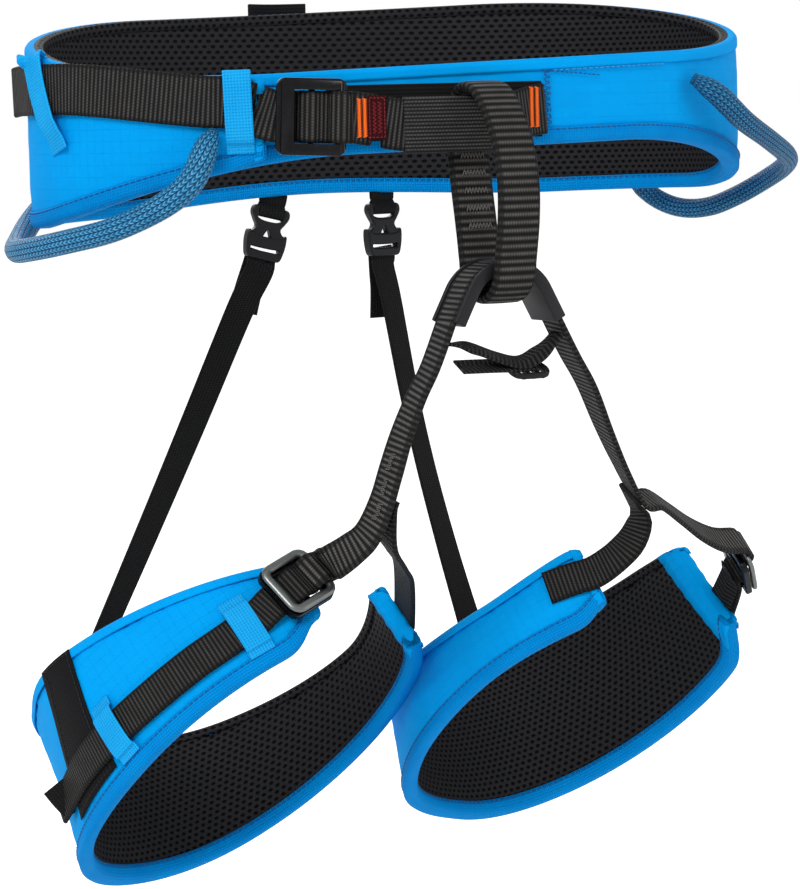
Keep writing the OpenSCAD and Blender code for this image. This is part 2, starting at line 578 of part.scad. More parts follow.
// on a buckle beyond the end of its pad the anchor is led into the pad end
module leg_anchor(leg) {
    beyond = leg[4] > leg[6];
    turn = beyond ? leg[4] - 0.8 : leg[6] + 10;
    p = curve(concat([for (q = anchor_line(leg_buckle_len, beyond ? 1.3 : 0.7))
        put(leg_buckle_at(leg), leg_ahead(leg), leg_out(leg, leg[6]), [q[0], 0, q[1]])],
        [leg_at(leg, turn, leg_strap_s(leg, turn), beyond ? -1.6 : anchor_thick/2 + 3*seat)]), 3);
    last = len(p) - 1;
    start = buckle_rise(leg);
    end = leg_rise(leg, turn, leg_strap_s(leg, turn));
    color([0.2, 0.2, 0.2])
        strap(p, [for (i = [0:last]) unit(mix(start, end, i/last))], leg_web_w - 2, anchor_thick);
}
module leg_keeper(leg, phi) {
    lift = web_thick + 2*fit + 0.6;
    half = leg_web_w/2;
    s = leg_strap_s(leg, phi);
    line = [[half + 5, 0.7], [half + 2.6, 1.4], [half + 1, lift], [0, lift + 0.3],
        [-half - 1, lift], [-half - 2.6, 1.4], [-half - 4, 0.7]];
    p = curve([for (q = line) leg_at(leg, phi, s + q[0], q[1])], 2);
    dir = unit(leg_at(leg, phi + 2, s, 0) - leg_at(leg, phi - 2, s, 0));
    color([0.1, 0.6, 0.95]) strap(p, [for (q = p) dir], keeper_w, 1);
}
module leg_stopper(leg) {
    phi = leg[8] - 2;
    s = leg_strap_s(leg, phi);
    at = leg_at(leg, phi, s, strap_out + web_thick + 4);
    ahead = leg_at(leg, phi + 2, s, 0) - leg_at(leg, phi - 2, s, 0);
    color([0.1, 0.1, 0.1]) placed(at, ahead, leg_out(leg, phi))
        translate([-9, -leg_web_w/2, -0.6]) cube([13, leg_web_w, 2.4]);
}
module leg_label(leg) {
    color([0.07, 0.07, 0.08]) skin([
        for (k = steps(0, 1, 6))
            let (s = mix(37, 68, k))
                [for (edge = [0:5]) leg_at(leg, mix(mix(85, 78, k), mix(106, 94, k), edge/5), s, seat),
                    for (edge = [5:-1:0])
                        leg_at(leg, mix(mix(85, 78, k), mix(106, 94, k), edge/5), s, seat + 0.5)]
    ]);
}

// ---------- cross strap under the ring ----------

cross_w = 11;
module cross_strap() {
    p = curve([[-45, bend_y, -98.5], [-39, bend_y, -99.5], [-30, bend_y, -101.5], [-18, bend_y, -106],
        [-7, bend_y, -108.5], [2, bend_y, -104.5], [8, bend_y, -99.5], [10.4, bend_y, -97]], 3);
    tail = curve([[-1, bend_y, -110.2], [-12, bend_y, -110.2], [-24, bend_y, -109.8],
        [-38, bend_y, -109.5]], 3);
    color([0.14, 0.14, 0.14]) {
        strap(p, [for (q = p) [0, 1, 0]], cross_w, 1.4);
        strap(tail, [for (q = tail) [0, 1, 0]], cross_w, 1.2);
    }
}
module cross_buckle() {
    color([0.1, 0.1, 0.1]) translate([-5, bend_y, -113.4]) {
        difference() {
            translate([-9, -8, -1.8]) cube([18, 16, 4.2]);
            translate([-6, -cross_w/2 - 0.4, -2]) cube([3, cross_w + 0.8, 5]);
            translate([2, -cross_w/2 - 0.4, -2]) cube([3, cross_w + 0.8, 5]);
        }
    }
}

// ---------- rear tabs, clips and risers ----------

// turn of each clip about the belt, and how it is yawed and rolled
function clip_place(side) = side < 0 ? 185.7 : 165.8;
function clip_turn(side) = side < 0 ? [0, 14, 0] : [0, 0, 12];
clip_top = -47;
socket_len = 9;
loop_r = 1.6 + fit;
tab_w = clip_w - 6;
function clip_at(side) = pad_at(clip_place(side), -belt_thick/2, clip_top);
module at_clip(side) {
    translate(clip_at(side)) rotate(clip_turn(side)) children();
}
// a webbing tab round the top bar of the clip, sewn to the lower edge of the belt
module rear_tab(side) {
    at = clip_at(side);
    edge = min([for (t = [-2.5, 0, 2.5]) low_z(clip_place(side) + t)]) - seat;
    color([0.1, 0.1, 0.1]) difference() {
        at_clip(side) rotate([90, 0, 90]) translate([0, 0, -tab_w/2]) linear_extrude(tab_w) difference() {
            union() {
                circle(loop_r + 1.2);
                translate([-1.2, 0]) square([2.4, 20]);
            }
            circle(loop_r);
        }
        translate([at.x - 20, at.y - 20, edge]) cube(40);
    }
}
// local frame of a clip: x across, y thickness, z up, origin at the middle of its top bar
prong_x = clip_w/2 - 4.6;
prong_len = socket_len - 2.5;
module clip_socket() {
    rotate([0, 90, 0]) cylinder(h = clip_w, r = 1.6, center = true);
    for (s = [-1, 1]) translate([s*(clip_w/2 - 1.3), 0, -3.5]) cube([2.6, 3.2, 7], center = true);
    difference() {
        translate([-clip_w/2 + 1.5, -clip_thick/2, -socket_len - 4.5])
            cube([clip_w - 3, clip_thick, socket_len]);
        translate([-clip_w/2 + 3.2, -clip_thick/2 + 1.4, -socket_len - 5])
            cube([clip_w - 6.4, clip_thick - 2.8, socket_len - 1.5]);
        for (s = [-1, 1]) translate([s*clip_w/2, 0, -socket_len]) rotate([90, 0, 0])
            cylinder(h = clip_thick + 1, r = 3, center = true);
    }
    translate([-clip_w/2, -1.6, -6.4]) cube([clip_w, 3.2, 2]);
}
hook_bar = socket_len + 11;
module clip_hook() {
    translate([0, 0, -hook_bar]) {
        translate([-clip_w/2, -clip_thick/2, 2.4]) cube([clip_w, clip_thick, 4.1 - fit]);
        for (x = [-prong_x, 0, prong_x]) translate([x - 1, -1.2, 6]) cube([2, 2.4, prong_len]);
        for (s = [-1, 1]) translate([s*(clip_w/2 - 1.1), 0, 0.9]) cube([2.2, 3, 4.8], center = true);
        rotate([0, 90, 0]) cylinder(h = clip_w, r = 1.5, center = true);
    }
}
riser_turn = 162;
function riser_bow(side) = side < 0 ? 1 : -1;
// the clip's own directions, and a place below it: across, towards the back, down
function clip_across(side) = let (b = clip_turn(side)[1], c = clip_turn(side)[2])
    [cos(b)*cos(c), cos(b)*sin(c), -sin(b)];
function clip_back(side) = let (c = clip_turn(side)[2]) [-sin(c), cos(c), 0];
function below_clip(side, x, y, drop) =
    clip_at(side) + clip_across(side)*x + clip_back(side)*y - cross(clip_across(side), clip_back(side))*drop;
// the riser hangs from the bar of the hook and runs over the top edge of the leg pad
function riser_line(leg) = let (side = leg[0], h = leg_high(leg, riser_turn),
    start = below_clip(side, 0, 0, hook_bar + 1.5 + seat),
    over = leg_at(leg, riser_turn, h + 5.5, -leg_thick - 2)) concat(
    [start, below_clip(side, 0, 0, hook_bar + 5), below_clip(side, 0, 0, hook_bar + 9)],
    [for (k = [0.12, 0.35, 0.55, 0.75, 0.92]) mix(start, over, k) + [riser_bow(side)*sin(180*k), 0, 0]],
    [over, leg_at(leg, riser_turn, h + 3.2, -2), leg_at(leg, riser_turn, h - 2, 2.2),
        leg_at(leg, riser_turn, h - 18, 2.2)]
);
module riser(leg) {
    p = curve(riser_line(leg), 3);
    n = len(p) - 1;
    side = leg_at(leg, riser_turn + leg[0]*5, 0, 0) - leg_at(leg, riser_turn - leg[0]*5, 0, 0);
    color([0.12, 0.12, 0.12])
        strap(p, [for (i = [0:n]) unit(mix(clip_across(leg[0]), -unit(side), ease(n*0.1, n*0.75, i)))],
            riser_w, riser_thick);
}
// the spare end of the riser, hanging free behind it from the bar
module riser_tail(leg) {
    side = leg[0];
    y = 1.5 + seat + riser_thick/2;
    drop = side < 0 ? 30 : 34;
    p = curve([below_clip(side, 0, y, hook_bar - 1), below_clip(side, side, y + 0.8, hook_bar + 10),
        below_clip(side, side*2, y + 1.4, hook_bar + 20),
        below_clip(side, side*2, y + 2.2, hook_bar + drop)], 3);
    color([0.12, 0.12, 0.12]) strap(p, [for (q = p) clip_across(side)], riser_w, riser_thick);
}

// ---------- one module per node that repeats on both sides ----------

module right_rear_tab() { rear_tab(-1); }
module left_rear_tab() { rear_tab(1); }
module right_clip_socket() { color([0.1, 0.1, 0.1]) at_clip(-1) clip_socket(); }
module left_clip_socket() { color([0.1, 0.1, 0.1]) at_clip(1) clip_socket(); }
module right_clip_hook() { color([0.1, 0.1, 0.1]) at_clip(-1) clip_hook(); }
module left_clip_hook() { color([0.1, 0.1, 0.1]) at_clip(1) clip_hook(); }
module right_riser() { riser(RIGHT); }
module left_riser() { riser(LEFT); }
module right_riser_tail() { riser_tail(RIGHT); }
module left_riser_tail() { riser_tail(LEFT); }
module right_leg_cover() { leg_cover(RIGHT); }
module right_leg_foam() { leg_foam(RIGHT); }
module right_leg_lining() { leg_lining(RIGHT); }
module right_leg_top_binding() { leg_top_binding(RIGHT); }
module right_leg_bottom_binding() { leg_bottom_binding(RIGHT); }
module right_leg_label() { leg_label(RIGHT); }
module right_leg_anchor() { leg_anchor(RIGHT); }
module right_leg_strap() { leg_strap(RIGHT); }
module right_leg_stopper() { leg_stopper(RIGHT); }
module right_leg_keepers() {
    leg_keeper(RIGHT, 38);
    leg_keeper(RIGHT, 84);
}
module right_inner_strap() { inner_strap(RIGHT); }
module right_leg_buckle_base() { leg_buckle_base(RIGHT); }
module right_leg_buckle_frame() { leg_buckle_frame(RIGHT); }
module left_leg_cover() { leg_cover(LEFT); }
module left_leg_foam() { leg_foam(LEFT); }
module left_leg_lining() { leg_lining(LEFT); }
module left_leg_top_binding() { leg_top_binding(LEFT); }
module left_leg_bottom_binding() { leg_bottom_binding(LEFT); }
module left_leg_anchor() { leg_anchor(LEFT); }
module left_leg_strap() { leg_strap(LEFT); }
module left_leg_stopper() { leg_stopper(LEFT); }
module left_leg_keepers() {
    leg_keeper(LEFT, 76);
    leg_keeper(LEFT, 108);
}
module left_inner_strap() { inner_strap(LEFT); }
module left_leg_buckle_base() { leg_buckle_base(LEFT); }
module left_leg_buckle_frame() { leg_buckle_frame(LEFT); }

waist_cover();
waist_foam();
waist_lining();
waist_top_binding();
waist_bottom_binding();
waist_webbing();
buckle_anchor();
waist_strap();
tie_in_protector();
tie_in_patch();
front_keeper();
side_keeper();
waist_buckle_base();
waist_buckle_frame();
haul_loop();
right_rear_tab();
left_rear_tab();
right_gear_loop();
left_gear_loop();
belay_loop();
right_clip_socket();
left_clip_socket();
right_clip_hook();
left_clip_hook();
right_riser();
left_riser();
right_riser_tail();
left_riser_tail();
ring_guard();
leg_webbing();
cross_strap();
cross_buckle();
right_leg_cover();
right_leg_foam();
right_leg_lining();
right_leg_top_binding();
right_leg_bottom_binding();
right_leg_label();
right_leg_anchor();
right_leg_strap();
right_leg_stopper();
right_leg_keepers();
right_inner_strap();
right_leg_buckle_base();
right_leg_buckle_frame();
left_leg_cover();
left_leg_foam();
left_leg_lining();
left_leg_top_binding();
left_leg_bottom_binding();
left_leg_anchor();
left_leg_strap();
left_leg_stopper();
left_leg_keepers();
left_inner_strap();
left_leg_buckle_base();
left_leg_buckle_frame();
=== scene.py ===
"""The dressed climbing harness. Shapes are worked out in millimetres in the frame of the
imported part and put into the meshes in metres. Front is -Y, up is +Z, right is -X."""
import bpy
import bmesh
import numpy as np
from mathutils import Matrix, Vector
from mathutils.bvhtree import BVHTree


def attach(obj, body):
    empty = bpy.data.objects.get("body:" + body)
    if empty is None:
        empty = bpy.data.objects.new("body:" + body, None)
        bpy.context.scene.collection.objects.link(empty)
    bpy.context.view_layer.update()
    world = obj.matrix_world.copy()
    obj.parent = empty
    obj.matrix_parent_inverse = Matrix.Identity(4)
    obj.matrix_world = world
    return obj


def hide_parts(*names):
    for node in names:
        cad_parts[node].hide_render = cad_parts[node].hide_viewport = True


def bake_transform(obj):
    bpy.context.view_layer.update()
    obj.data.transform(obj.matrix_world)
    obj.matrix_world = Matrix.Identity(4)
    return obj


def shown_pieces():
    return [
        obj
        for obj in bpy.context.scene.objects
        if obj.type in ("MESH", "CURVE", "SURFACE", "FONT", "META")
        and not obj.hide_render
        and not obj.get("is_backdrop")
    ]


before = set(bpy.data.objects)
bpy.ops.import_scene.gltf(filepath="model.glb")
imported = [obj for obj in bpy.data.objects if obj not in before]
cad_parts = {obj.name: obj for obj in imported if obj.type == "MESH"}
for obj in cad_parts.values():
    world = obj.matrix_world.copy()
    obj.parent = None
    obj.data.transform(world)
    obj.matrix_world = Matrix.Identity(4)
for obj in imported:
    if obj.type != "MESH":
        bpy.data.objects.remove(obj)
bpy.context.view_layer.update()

MM = 0.001
scene = bpy.context.scene

# ---------- camera and image points ----------

W, H = 800, 889
L = max(W, H)
camera_at = Vector((-0.70035, -1.31717, -0.00391))
camera_aim = Vector((-0.00107, 0.0014, -0.15353))
camera_roll = -1.506
camera_lens = 131.41
sensor_width = 36.0
shift_x, shift_y = 0.0, 0.0

points = {
    "waist_buckle": (313, 117), "front_stitching": (534, 107), "side_stitching": (362, 118),
    "belay_loop": (497, 195), "cross_buckle": (528, 370), "right_clip": (268, 226), "left_clip": (382, 221),
    "right_leg_buckle": (299, 581), "left_leg_buckle": (742, 559), "right_leg_label": (79, 735),
    "right_leg_tail": (67, 797), "web_stitching": (384, 487),
}

camera_data = bpy.data.cameras.new("camera")
camera_data.lens = camera_lens
camera_data.sensor_width = sensor_width
camera_data.sensor_fit = "AUTO"
camera_data.shift_x, camera_data.shift_y = shift_x, shift_y
camera_data.clip_end = 30
camera = bpy.data.objects.new("camera", camera_data)
scene.collection.objects.link(camera)
look = (camera_aim - camera_at).normalized()
camera.matrix_world = (Matrix.Translation(camera_at) @ look.to_track_quat("-Z", "Y").to_matrix().to_4x4()
                       @ Matrix.Rotation(np.radians(camera_roll), 4, "Z"))
scene.camera = camera
camera_axes = camera.matrix_world.to_3x3()


def image_ray(x, y):
    """The direction from the camera through a point of the picture."""
    return (camera_axes @ Vector((x - W/2 + shift_x*L, H/2 - y + shift_y*L,
                                  -L*camera_lens/sensor_width))).normalized()


def image_of(verts):
    """The picture place of each row of verts (metres): the reverse of image_ray."""
    v = (np.asarray(verts) - np.array(camera_at)) @ np.array(camera_axes)
    k = L*camera_lens/sensor_width/-v[:, 2]
    return np.stack([W/2 - shift_x*L + v[:, 0]*k, H/2 + shift_y*L - v[:, 1]*k], 1)


def place(x, y, carriers):
    """Where the ray through a picture point meets the carriers first, as (place, normal) in metres;
    on a miss, the carriers' place nearest to the ray."""
    ray = image_ray(x, y)
    graph = bpy.context.evaluated_depsgraph_get()
    hits = [BVHTree.FromObject(carrier, graph).ray_cast(camera_at, ray) for carrier in carriers]
    hits = [hit for hit in hits if hit[0] is not None]
    if hits:
        return min(hits, key=lambda hit: hit[3])[:2]
    verts = np.concatenate([points_of(carrier) for carrier in carriers])
    d = verts - np.array(camera_at)
    off = np.linalg.norm(d - np.outer(d @ np.array(ray), np.array(ray)), axis=1)
    return Vector(verts[off.argmin()]), -ray


def at_depth(x, y, ref):
    """The place (mm) behind a picture point, as far from the camera's plane as ref (mm)."""
    ray = np.array(image_ray(x, y))
    ahead = -np.array(camera_axes.col[2])
    start = np.array(camera_at)/MM
    return start + ray*((np.asarray(ref) - start) @ ahead)/(ray @ ahead)


def evaluated(thing):
    return thing.evaluated_get(bpy.context.evaluated_depsgraph_get())


def verts_of(mesh):
    co = np.empty(len(mesh.vertices)*3)
    mesh.vertices.foreach_get("co", co)
    return co.reshape(-1, 3)


def points_of(thing):
    """The vertices of a finished piece, in metres, modifiers included."""
    done = evaluated(thing)
    co = verts_of(done.to_mesh())
    done.to_mesh_clear()
    return co


# ---------- number helpers ----------

def unit(v):
    return v/np.linalg.norm(v, axis=-1, keepdims=True)


def mix(a, b, k):
    return a*(1 - k) + b*k


def ease(start, end, x):
    """0 before start, 1 after end, and 3k^2 - 2k^3 between."""
    k = np.clip((x - start)/(end - start), 0, 1)
    return k*k*(3 - 2*k)


def vec(x, y, z):
    return np.stack(np.broadcast_arrays(x, y, z), -1).astype(float)


def curve(p, count):
    """A smooth line through the rows of p: each span is the cubic whose end slopes are half the
    distance between its neighbours, cut into count steps."""
    p = np.asarray(p, float)
    i = np.arange(len(p) - 1)
    a, b, c, d = p[np.maximum(i - 1, 0)], p[i], p[i + 1], p[np.minimum(i + 2, len(p) - 1)]
    t = (np.arange(count)/count)[None, :, None]
    a, b, c, d = (q[:, None] for q in (a, b, c, d))
    q = 0.5*(2*b + (c - a)*t + (2*a - 5*b + 4*c - d)*t**2 + (3*b - a - 3*c + d)*t**3)
    return np.concatenate([q.reshape(-1, p.shape[1]), p[-1:]])


def along(p):
    q = np.concatenate([p[:1], p, p[-1:]])
    return unit(q[2:] - q[:-2])


def lengths(p):
    """Distance from the first row of p to each row, along the line."""
    return np.concatenate([[0], np.cumsum(np.linalg.norm(np.diff(p, axis=0), axis=1))])


def evenly(p, step):
    """The line p taken again at even steps."""
    d = lengths(p)
    at = np.linspace(0, d[-1], max(2, int(round(d[-1]/step)) + 1))
    return np.stack([np.interp(at, d, p[:, k]) for k in range(p.shape[1])], 1)


# ---------- places on the belt and the leg pads, as in the part's source ----------

belt_a, belt_b, belt_thick = 175.0, 103.0, 8.4
lap_in, lap_out, tuck_in = -50, 323, 9.2
belay_x, bend_y, bend_z = -18.0, -123.0, -65.5


def tuck(t):
    return tuck_in*(1 - ease(-20, 30, t))


def belt_normal(t):
    r = np.radians(t)
    return unit(vec(np.sin(r)/belt_a, -np.cos(r)/belt_b, 0*r))


def belt_at(t, out, z):
    """Turn t round the belt's ellipse, then out along its normal, at height z."""
    t, out, z = np.broadcast_arrays(np.asarray(t, float), out, z)
    r = np.radians(t)
    return vec(belt_a*np.sin(r), -belt_b*np.cos(r), z) + belt_normal(t)*out[..., None]


def pad_at(t, out, z):
    return belt_at(t, np.asarray(out) - tuck(np.asarray(t, float)), z)


def from_front(t):
    return np.abs(np.where(t > 180, t - 360, t))


def top_z(t):
    return mix(20.0, 48.0, ease(35, 150, from_front(t))) + 6*np.sin(np.radians(t)) - end_trim(t)


def low_z(t):
    return (-mix(17.0, 44.0, ease(22, 98, from_front(t))) + 5*ease(135, 180, from_front(t))
            + 3.5*np.sin(np.radians(t)) + end_trim(t))


def end_trim(t):
    return 2.5*(1 - ease(0, 6, lap_out - t)) + 2.5*(1 - ease(0, 6, t - lap_in))


def belt_coords(p):
    """The reverse of pad_at, as (turn, height, out): out is the ellipse's value less 1 over the
    length of its gradient; where the pad ends overlap, the deeper place is the tucked end."""
    x, y = p[:, 0], p[:, 1]
    t = np.degrees(np.arctan2(x/belt_a, -y/belt_b))
    f = np.sqrt((x/belt_a)**2 + (y/belt_b)**2)
    out = (f - 1)*f/np.sqrt((x/belt_a**2)**2 + (y/belt_b**2)**2)
    t = np.where((t < lap_in) | ((t < lap_out - 360 + 1.5) & (out > -8.8)), t + 360, t)
    return t, p[:, 2], out + tuck(t)


class Leg:
    """One leg pad: phi is the turn from its front towards its outer side, s the height above its
    lower edge, out the distance out of its fabric."""
    half_w, half_d, thick = 82.5, 97.0, 7.0

    def __init__(self, centre, tilt, toe, **values):
        """Side is -1 on the right. Tilt and toe turn the whole pad. Outer, inner, buckle and tail are
        the turns of its ends, its buckle and its strap's end; buckle_s is the buckle's height. Lean_by
        and flare shape its lean; rise, cut and raised shape its edges."""
        tilt, toe = np.radians(tilt), np.radians(toe)
        self.centre = np.array(centre, float)
        self.x = np.array([np.cos(toe), np.sin(toe), 0])
        self.y = np.array([-np.sin(toe)*np.cos(tilt), np.cos(toe)*np.cos(tilt), -np.sin(tilt)])
        self.up = np.array([-np.sin(toe)*np.sin(tilt), np.cos(toe)*np.sin(tilt), np.cos(tilt)])
        self.__dict__.update(values)

    def lean(self, phi, s):
        return ((0.35*s - 4.5 - 0.0017*s*s)*ease(self.flare, self.flare + 45, phi)*(1 - ease(170, 230, phi))
                + self.lean_by*(s - 30)*ease(195, 235, phi)*(1 - ease(290, 330, phi)))

    def normal(self, phi):
        r = self.side*np.radians(phi)
        n = unit(np.stack([np.sin(r)/self.half_w, -np.cos(r)/self.half_d], -1))
        return n[..., :1]*self.x + n[..., 1:]*self.y

    def at(self, phi, s, out):
        """Turn phi round the pad's ellipse, s up its axis, then out along its normal less the lean."""
        phi, s, out = np.broadcast_arrays(np.asarray(phi, float), s, out)
        r = (self.side*np.radians(phi))[..., None]
        return (self.centre + self.x*self.half_w*np.sin(r) - self.y*self.half_d*np.cos(r)
                + self.up*s[..., None] + self.normal(phi)*(out - self.lean(phi, s))[..., None])

    def place(self, phi, out, s):
        """The same, with its arguments in pad_at's order."""
        return self.at(phi, s, out)

    def coords(self, p):
        d = p - self.centre
        x, y, s = d @ self.x, d @ self.y, d @ self.up
        phi = np.degrees(np.arctan2(self.side*x/self.half_w, -y/self.half_d)) % 360
        f = np.sqrt((x/self.half_w)**2 + (y/self.half_d)**2)
        out = (f - 1)*f/np.sqrt((x/self.half_w**2)**2 + (y/self.half_d**2)**2)
        return phi, s, out + self.lean(phi, s)

    def height(self, phi):
        return mix(32.0, 78.0, 0.5 + 0.5*np.cos(np.radians(phi - 145)))

    def low(self, phi):
        return (11*(1 - ease(0, 20, phi - self.outer))**2 + self.cut*(1 - ease(0, 14, self.inner - phi))**2
                + self.raised*np.exp(-((phi - 168)/34)**2))

    def high(self, phi):
        return (self.height(phi) - 2*(1 - ease(0, 5, phi - self.outer))**2
                - 2*(1 - ease(0, 5, self.inner - phi))**2 + self.rise*(1 - ease(0, 35, self.inner - phi)))

    def strap_s(self, phi):
        return self.buckle_s - 6*ease(self.buckle, self.buckle + 22, phi) + 4*ease(60, 115, phi)

    def rise_at(self, phi, s):
        return unit(self.at(phi, s + 4, 0) - self.at(phi, s - 4, 0))

    def buckle_place(self):
        at = self.at(self.buckle, self.buckle_s, 1.2)
        phi = self.buckle + 9
        ahead = self.at(phi, self.strap_s(phi), 1.2) - at
        return at, ahead, self.normal(np.float64(self.buckle))


RIGHT = Leg([-89, -22, -287], 44, 19, side=-1, outer=13, inner=314, buckle=17, buckle_s=25, tail=118,
            lean_by=0, rise=6, cut=3, flare=80, raised=3.4)
LEFT = Leg([78.5, -29, -280.5], 41, 8, side=1, outer=66, inner=333, buckle=50, buckle_s=29, tail=132,
           lean_by=0.27, rise=4, cut=6, flare=45, raised=0)
BOTH = (("right", RIGHT), ("left", LEFT))

# ---------- shader helpers ----------


class Value:
    """A number that varies over a surface: wraps a socket, and an operator adds a Math node."""

    def __init__(self, finish, socket):
        self.finish, self.socket = finish, socket

    def math(self, operation, *others, clamp=False):
        node = self.finish.node("ShaderNodeMath", {"operation": operation, "use_clamp": clamp},
                                {i: v for i, v in enumerate((self,) + others)})
        return Value(self.finish, node.outputs[0])

    def __add__(self, o): return self.math("ADD", o)
    def __radd__(self, o): return self.math("ADD", o)
    def __sub__(self, o): return self.math("SUBTRACT", o)
    def __rsub__(self, o): return Value(self.finish, o).math("SUBTRACT", self)
    def __mul__(self, o): return self.math("MULTIPLY", o)
    def __rmul__(self, o): return self.math("MULTIPLY", o)
    def __truediv__(self, o): return self.math("DIVIDE", o)
    def sin(self): return self.math("SINE")
    def abs(self): return self.math("ABSOLUTE")
    def fract(self): return self.math("FRACT")
    def floor(self): return self.math("FLOOR")
    def power(self, o): return self.math("POWER", o)
    def clamp(self): return self.math("ADD", 0.0, clamp=True)

    def wave(self):
        """From 0 to 1 and back, once each turn of the value."""
        return self.sin()*0.5 + 0.5

    def smooth(self, low, high):
        node = self.finish.node("ShaderNodeMapRange", {"interpolation_type": "SMOOTHSTEP"},
                                {"Value": self, "From Min": low, "From Max": high})
        return Value(self.finish, node.outputs["Result"])


class Finish:
    """One material: a Principled shader, with helpers that add the nodes of its pattern."""

    def __init__(self, name, color, roughness, **fixed):
        self.material = bpy.data.materials.new(name)
        self.material.use_nodes = True
        self.tree = self.material.node_tree
        self.shader = self.tree.nodes["Principled BSDF"]
        self.shader.inputs["Base Color"].default_value = (*color, 1)
        self.shader.inputs["Roughness"].default_value = roughness
        for key, value in fixed.items():
            self.shader.inputs[key.replace("_", " ")].default_value = value
        self.material.diffuse_color = (*color, 1)

    def put(self, socket, value):
        if isinstance(value, Value):
            self.put(socket, value.socket)
        elif isinstance(value, bpy.types.NodeSocket):
            self.tree.links.new(value, socket)
        else:
            socket.default_value = value

    def node(self, kind, settings=None, inputs=None):
        node = self.tree.nodes.new(kind)
        for key, value in (settings or {}).items():
            setattr(node, key, value)
        for key, value in (inputs or {}).items():
            self.put(node.inputs[key], value)
        return node

    def route(self):
        """The piece's own map in millimetres: along it, and across it."""
        uv = self.node("ShaderNodeUVMap", {"uv_map": "route"})
        xyz = self.node("ShaderNodeSeparateXYZ", None, {0: uv.outputs[0]})
        return Value(self, xyz.outputs[0]), Value(self, xyz.outputs[1])

    def noise(self, scale, detail=2.0, rough=0.5):
        where = self.node("ShaderNodeTexCoord").outputs["Object"]
        node = self.node("ShaderNodeTexNoise", None, {"Vector": where, "Scale": scale, "Detail": detail,
                                                      "Roughness": rough})
        return Value(self, node.outputs[0])

    def blend(self, k, first, second):
        node = self.node("ShaderNodeMix", {"data_type": "RGBA"}, {0: k, 6: first, 7: second})
        return node.outputs[2]

    def paint(self, k, first, second):
        self.put(self.shader.inputs["Base Color"], self.blend(k, (*first, 1), (*second, 1)))

    def relief(self, height, distance, strength=1.0):
        bump = self.node("ShaderNodeBump", None, {"Height": height, "Distance": distance,
                                                  "Strength": strength})
        self.put(self.shader.inputs["Normal"], bump.outputs[0])

    def rough(self, value):
        self.put(self.shader.inputs["Roughness"], value)


TURN, HALF_TURN = 6.283185, 3.14159


def shell_fabric():
    """Blue plain-woven nylon: fine threads both ways with faint slubs along the piece."""
    f = Finish("shell_fabric", (0.0, 0.36, 0.86), 0.62, Specular_IOR_Level=0.03)
    u, v = f.route()
    threads = (u*(TURN/0.9)).sin()*(v*(TURN/0.9)).sin()
    rip = ((v/5.0).fract() - 0.5).abs().smooth(0.46, 0.5) + ((u/5.0).fract() - 0.5).abs().smooth(0.46, 0.5)
    cloud = f.noise(38.0, 3.0)
    f.paint((cloud*0.8 + threads*0.1 + rip*0.12).clamp(), (0.0, 0.31, 0.8), (0.0, 0.4, 0.93))
    f.relief(threads*0.35 + rip*0.5 + f.noise(55.0, 2.0)*5.0, 0.00028, 0.9)
    f.rough(0.56 + cloud*0.12)
    return f.material


def edge_tape(name, dark, light):
    """Stretch tape: fine ribs across its length, slightly puckered."""
    f = Finish(name, light, 0.6, Specular_IOR_Level=0.03)
    u, v = f.route()
    ribs = (u*(TURN/1.3)).sin()*(0.5 + (v*(TURN/1.3)).sin()*0.5)
    cloud = f.noise(60.0, 2.0)
    f.paint((cloud*0.6 + ribs*0.3 + 0.25).clamp(), dark, light)
    f.relief(ribs + cloud*2.0, 0.0003, 1.0)
    return f.material


def mesh_lining():
    """Black spacer mesh: rows of oval holes, every second row moved by half a step."""
    f = Finish("mesh_lining", (0.01, 0.01, 0.011), 0.6, Specular_IOR_Level=0.08)
    u, v = f.route()
    row = (v/2.6).floor()
    x = ((u/4.2 + row*0.5).fract() - 0.5)*4.2
    y = ((v/2.6).fract() - 0.5)*2.6
    far = (x*x*0.62 + y*y*1.5).power(0.5)
    net = far.smooth(0.62, 1.12)
    knit = (u*(TURN/0.8) + v*(TURN/1.3)).wave()
    f.paint((net*(0.45 + knit*0.45)).clamp(), (0.001, 0.001, 0.001), (0.026, 0.026, 0.03))
    f.relief(net + knit*0.12, 0.0009, 0.9)
    f.rough(0.75 - net*0.25)
    return f.material


def webbing(name, dark, light, pitch, slant=0.0, ridge=0.55, half=20.0):
    """Flat woven webbing: ribs across its width at the pitch, each made of small yarn loops; beyond
    half the width given, the selvedge stays dark."""
    f = Finish(name, dark, 0.6, Specular_IOR_Level=0.1)
    u, v = f.route()
    way = u + v.abs()*slant
    rib = (way*(TURN/pitch)).wave()
    loops = (v*(TURN/1.25) + (way/pitch).floor()*HALF_TURN).wave()
    cloud = f.noise(160.0, 3.0)
    inside = 1.0 - v.abs().smooth(half - 0.8, half + 0.4)*0.75
    tone = (rib.power(1.8)*(0.45 + loops*0.55)*(0.5 + cloud)*inside).clamp()
    f.paint(tone, dark, light)
    f.relief(rib*ridge + loops*rib*0.45, 0.00045, 0.9)
    f.rough(0.68 - rib*0.16)
    return f.material


def woven_rows(name, dark, light):
    """Tubular webbing: rows of small stitches that run along it."""
    f = Finish(name, dark, 0.6, Specular_IOR_Level=0.1)
    u, v = f.route()
    row = (v*(TURN/1.55)).wave()
    dots = ((u/1.5 + (v/1.55).floor()*0.5)*TURN).wave()
    f.paint((row.power(1.5)*(0.35 + dots*0.65)*(0.5 + f.noise(150.0, 3.0))).clamp(), dark, light)
    f.relief(row*0.7 + dots*row*0.4, 0.0004, 0.9)
    return f.material


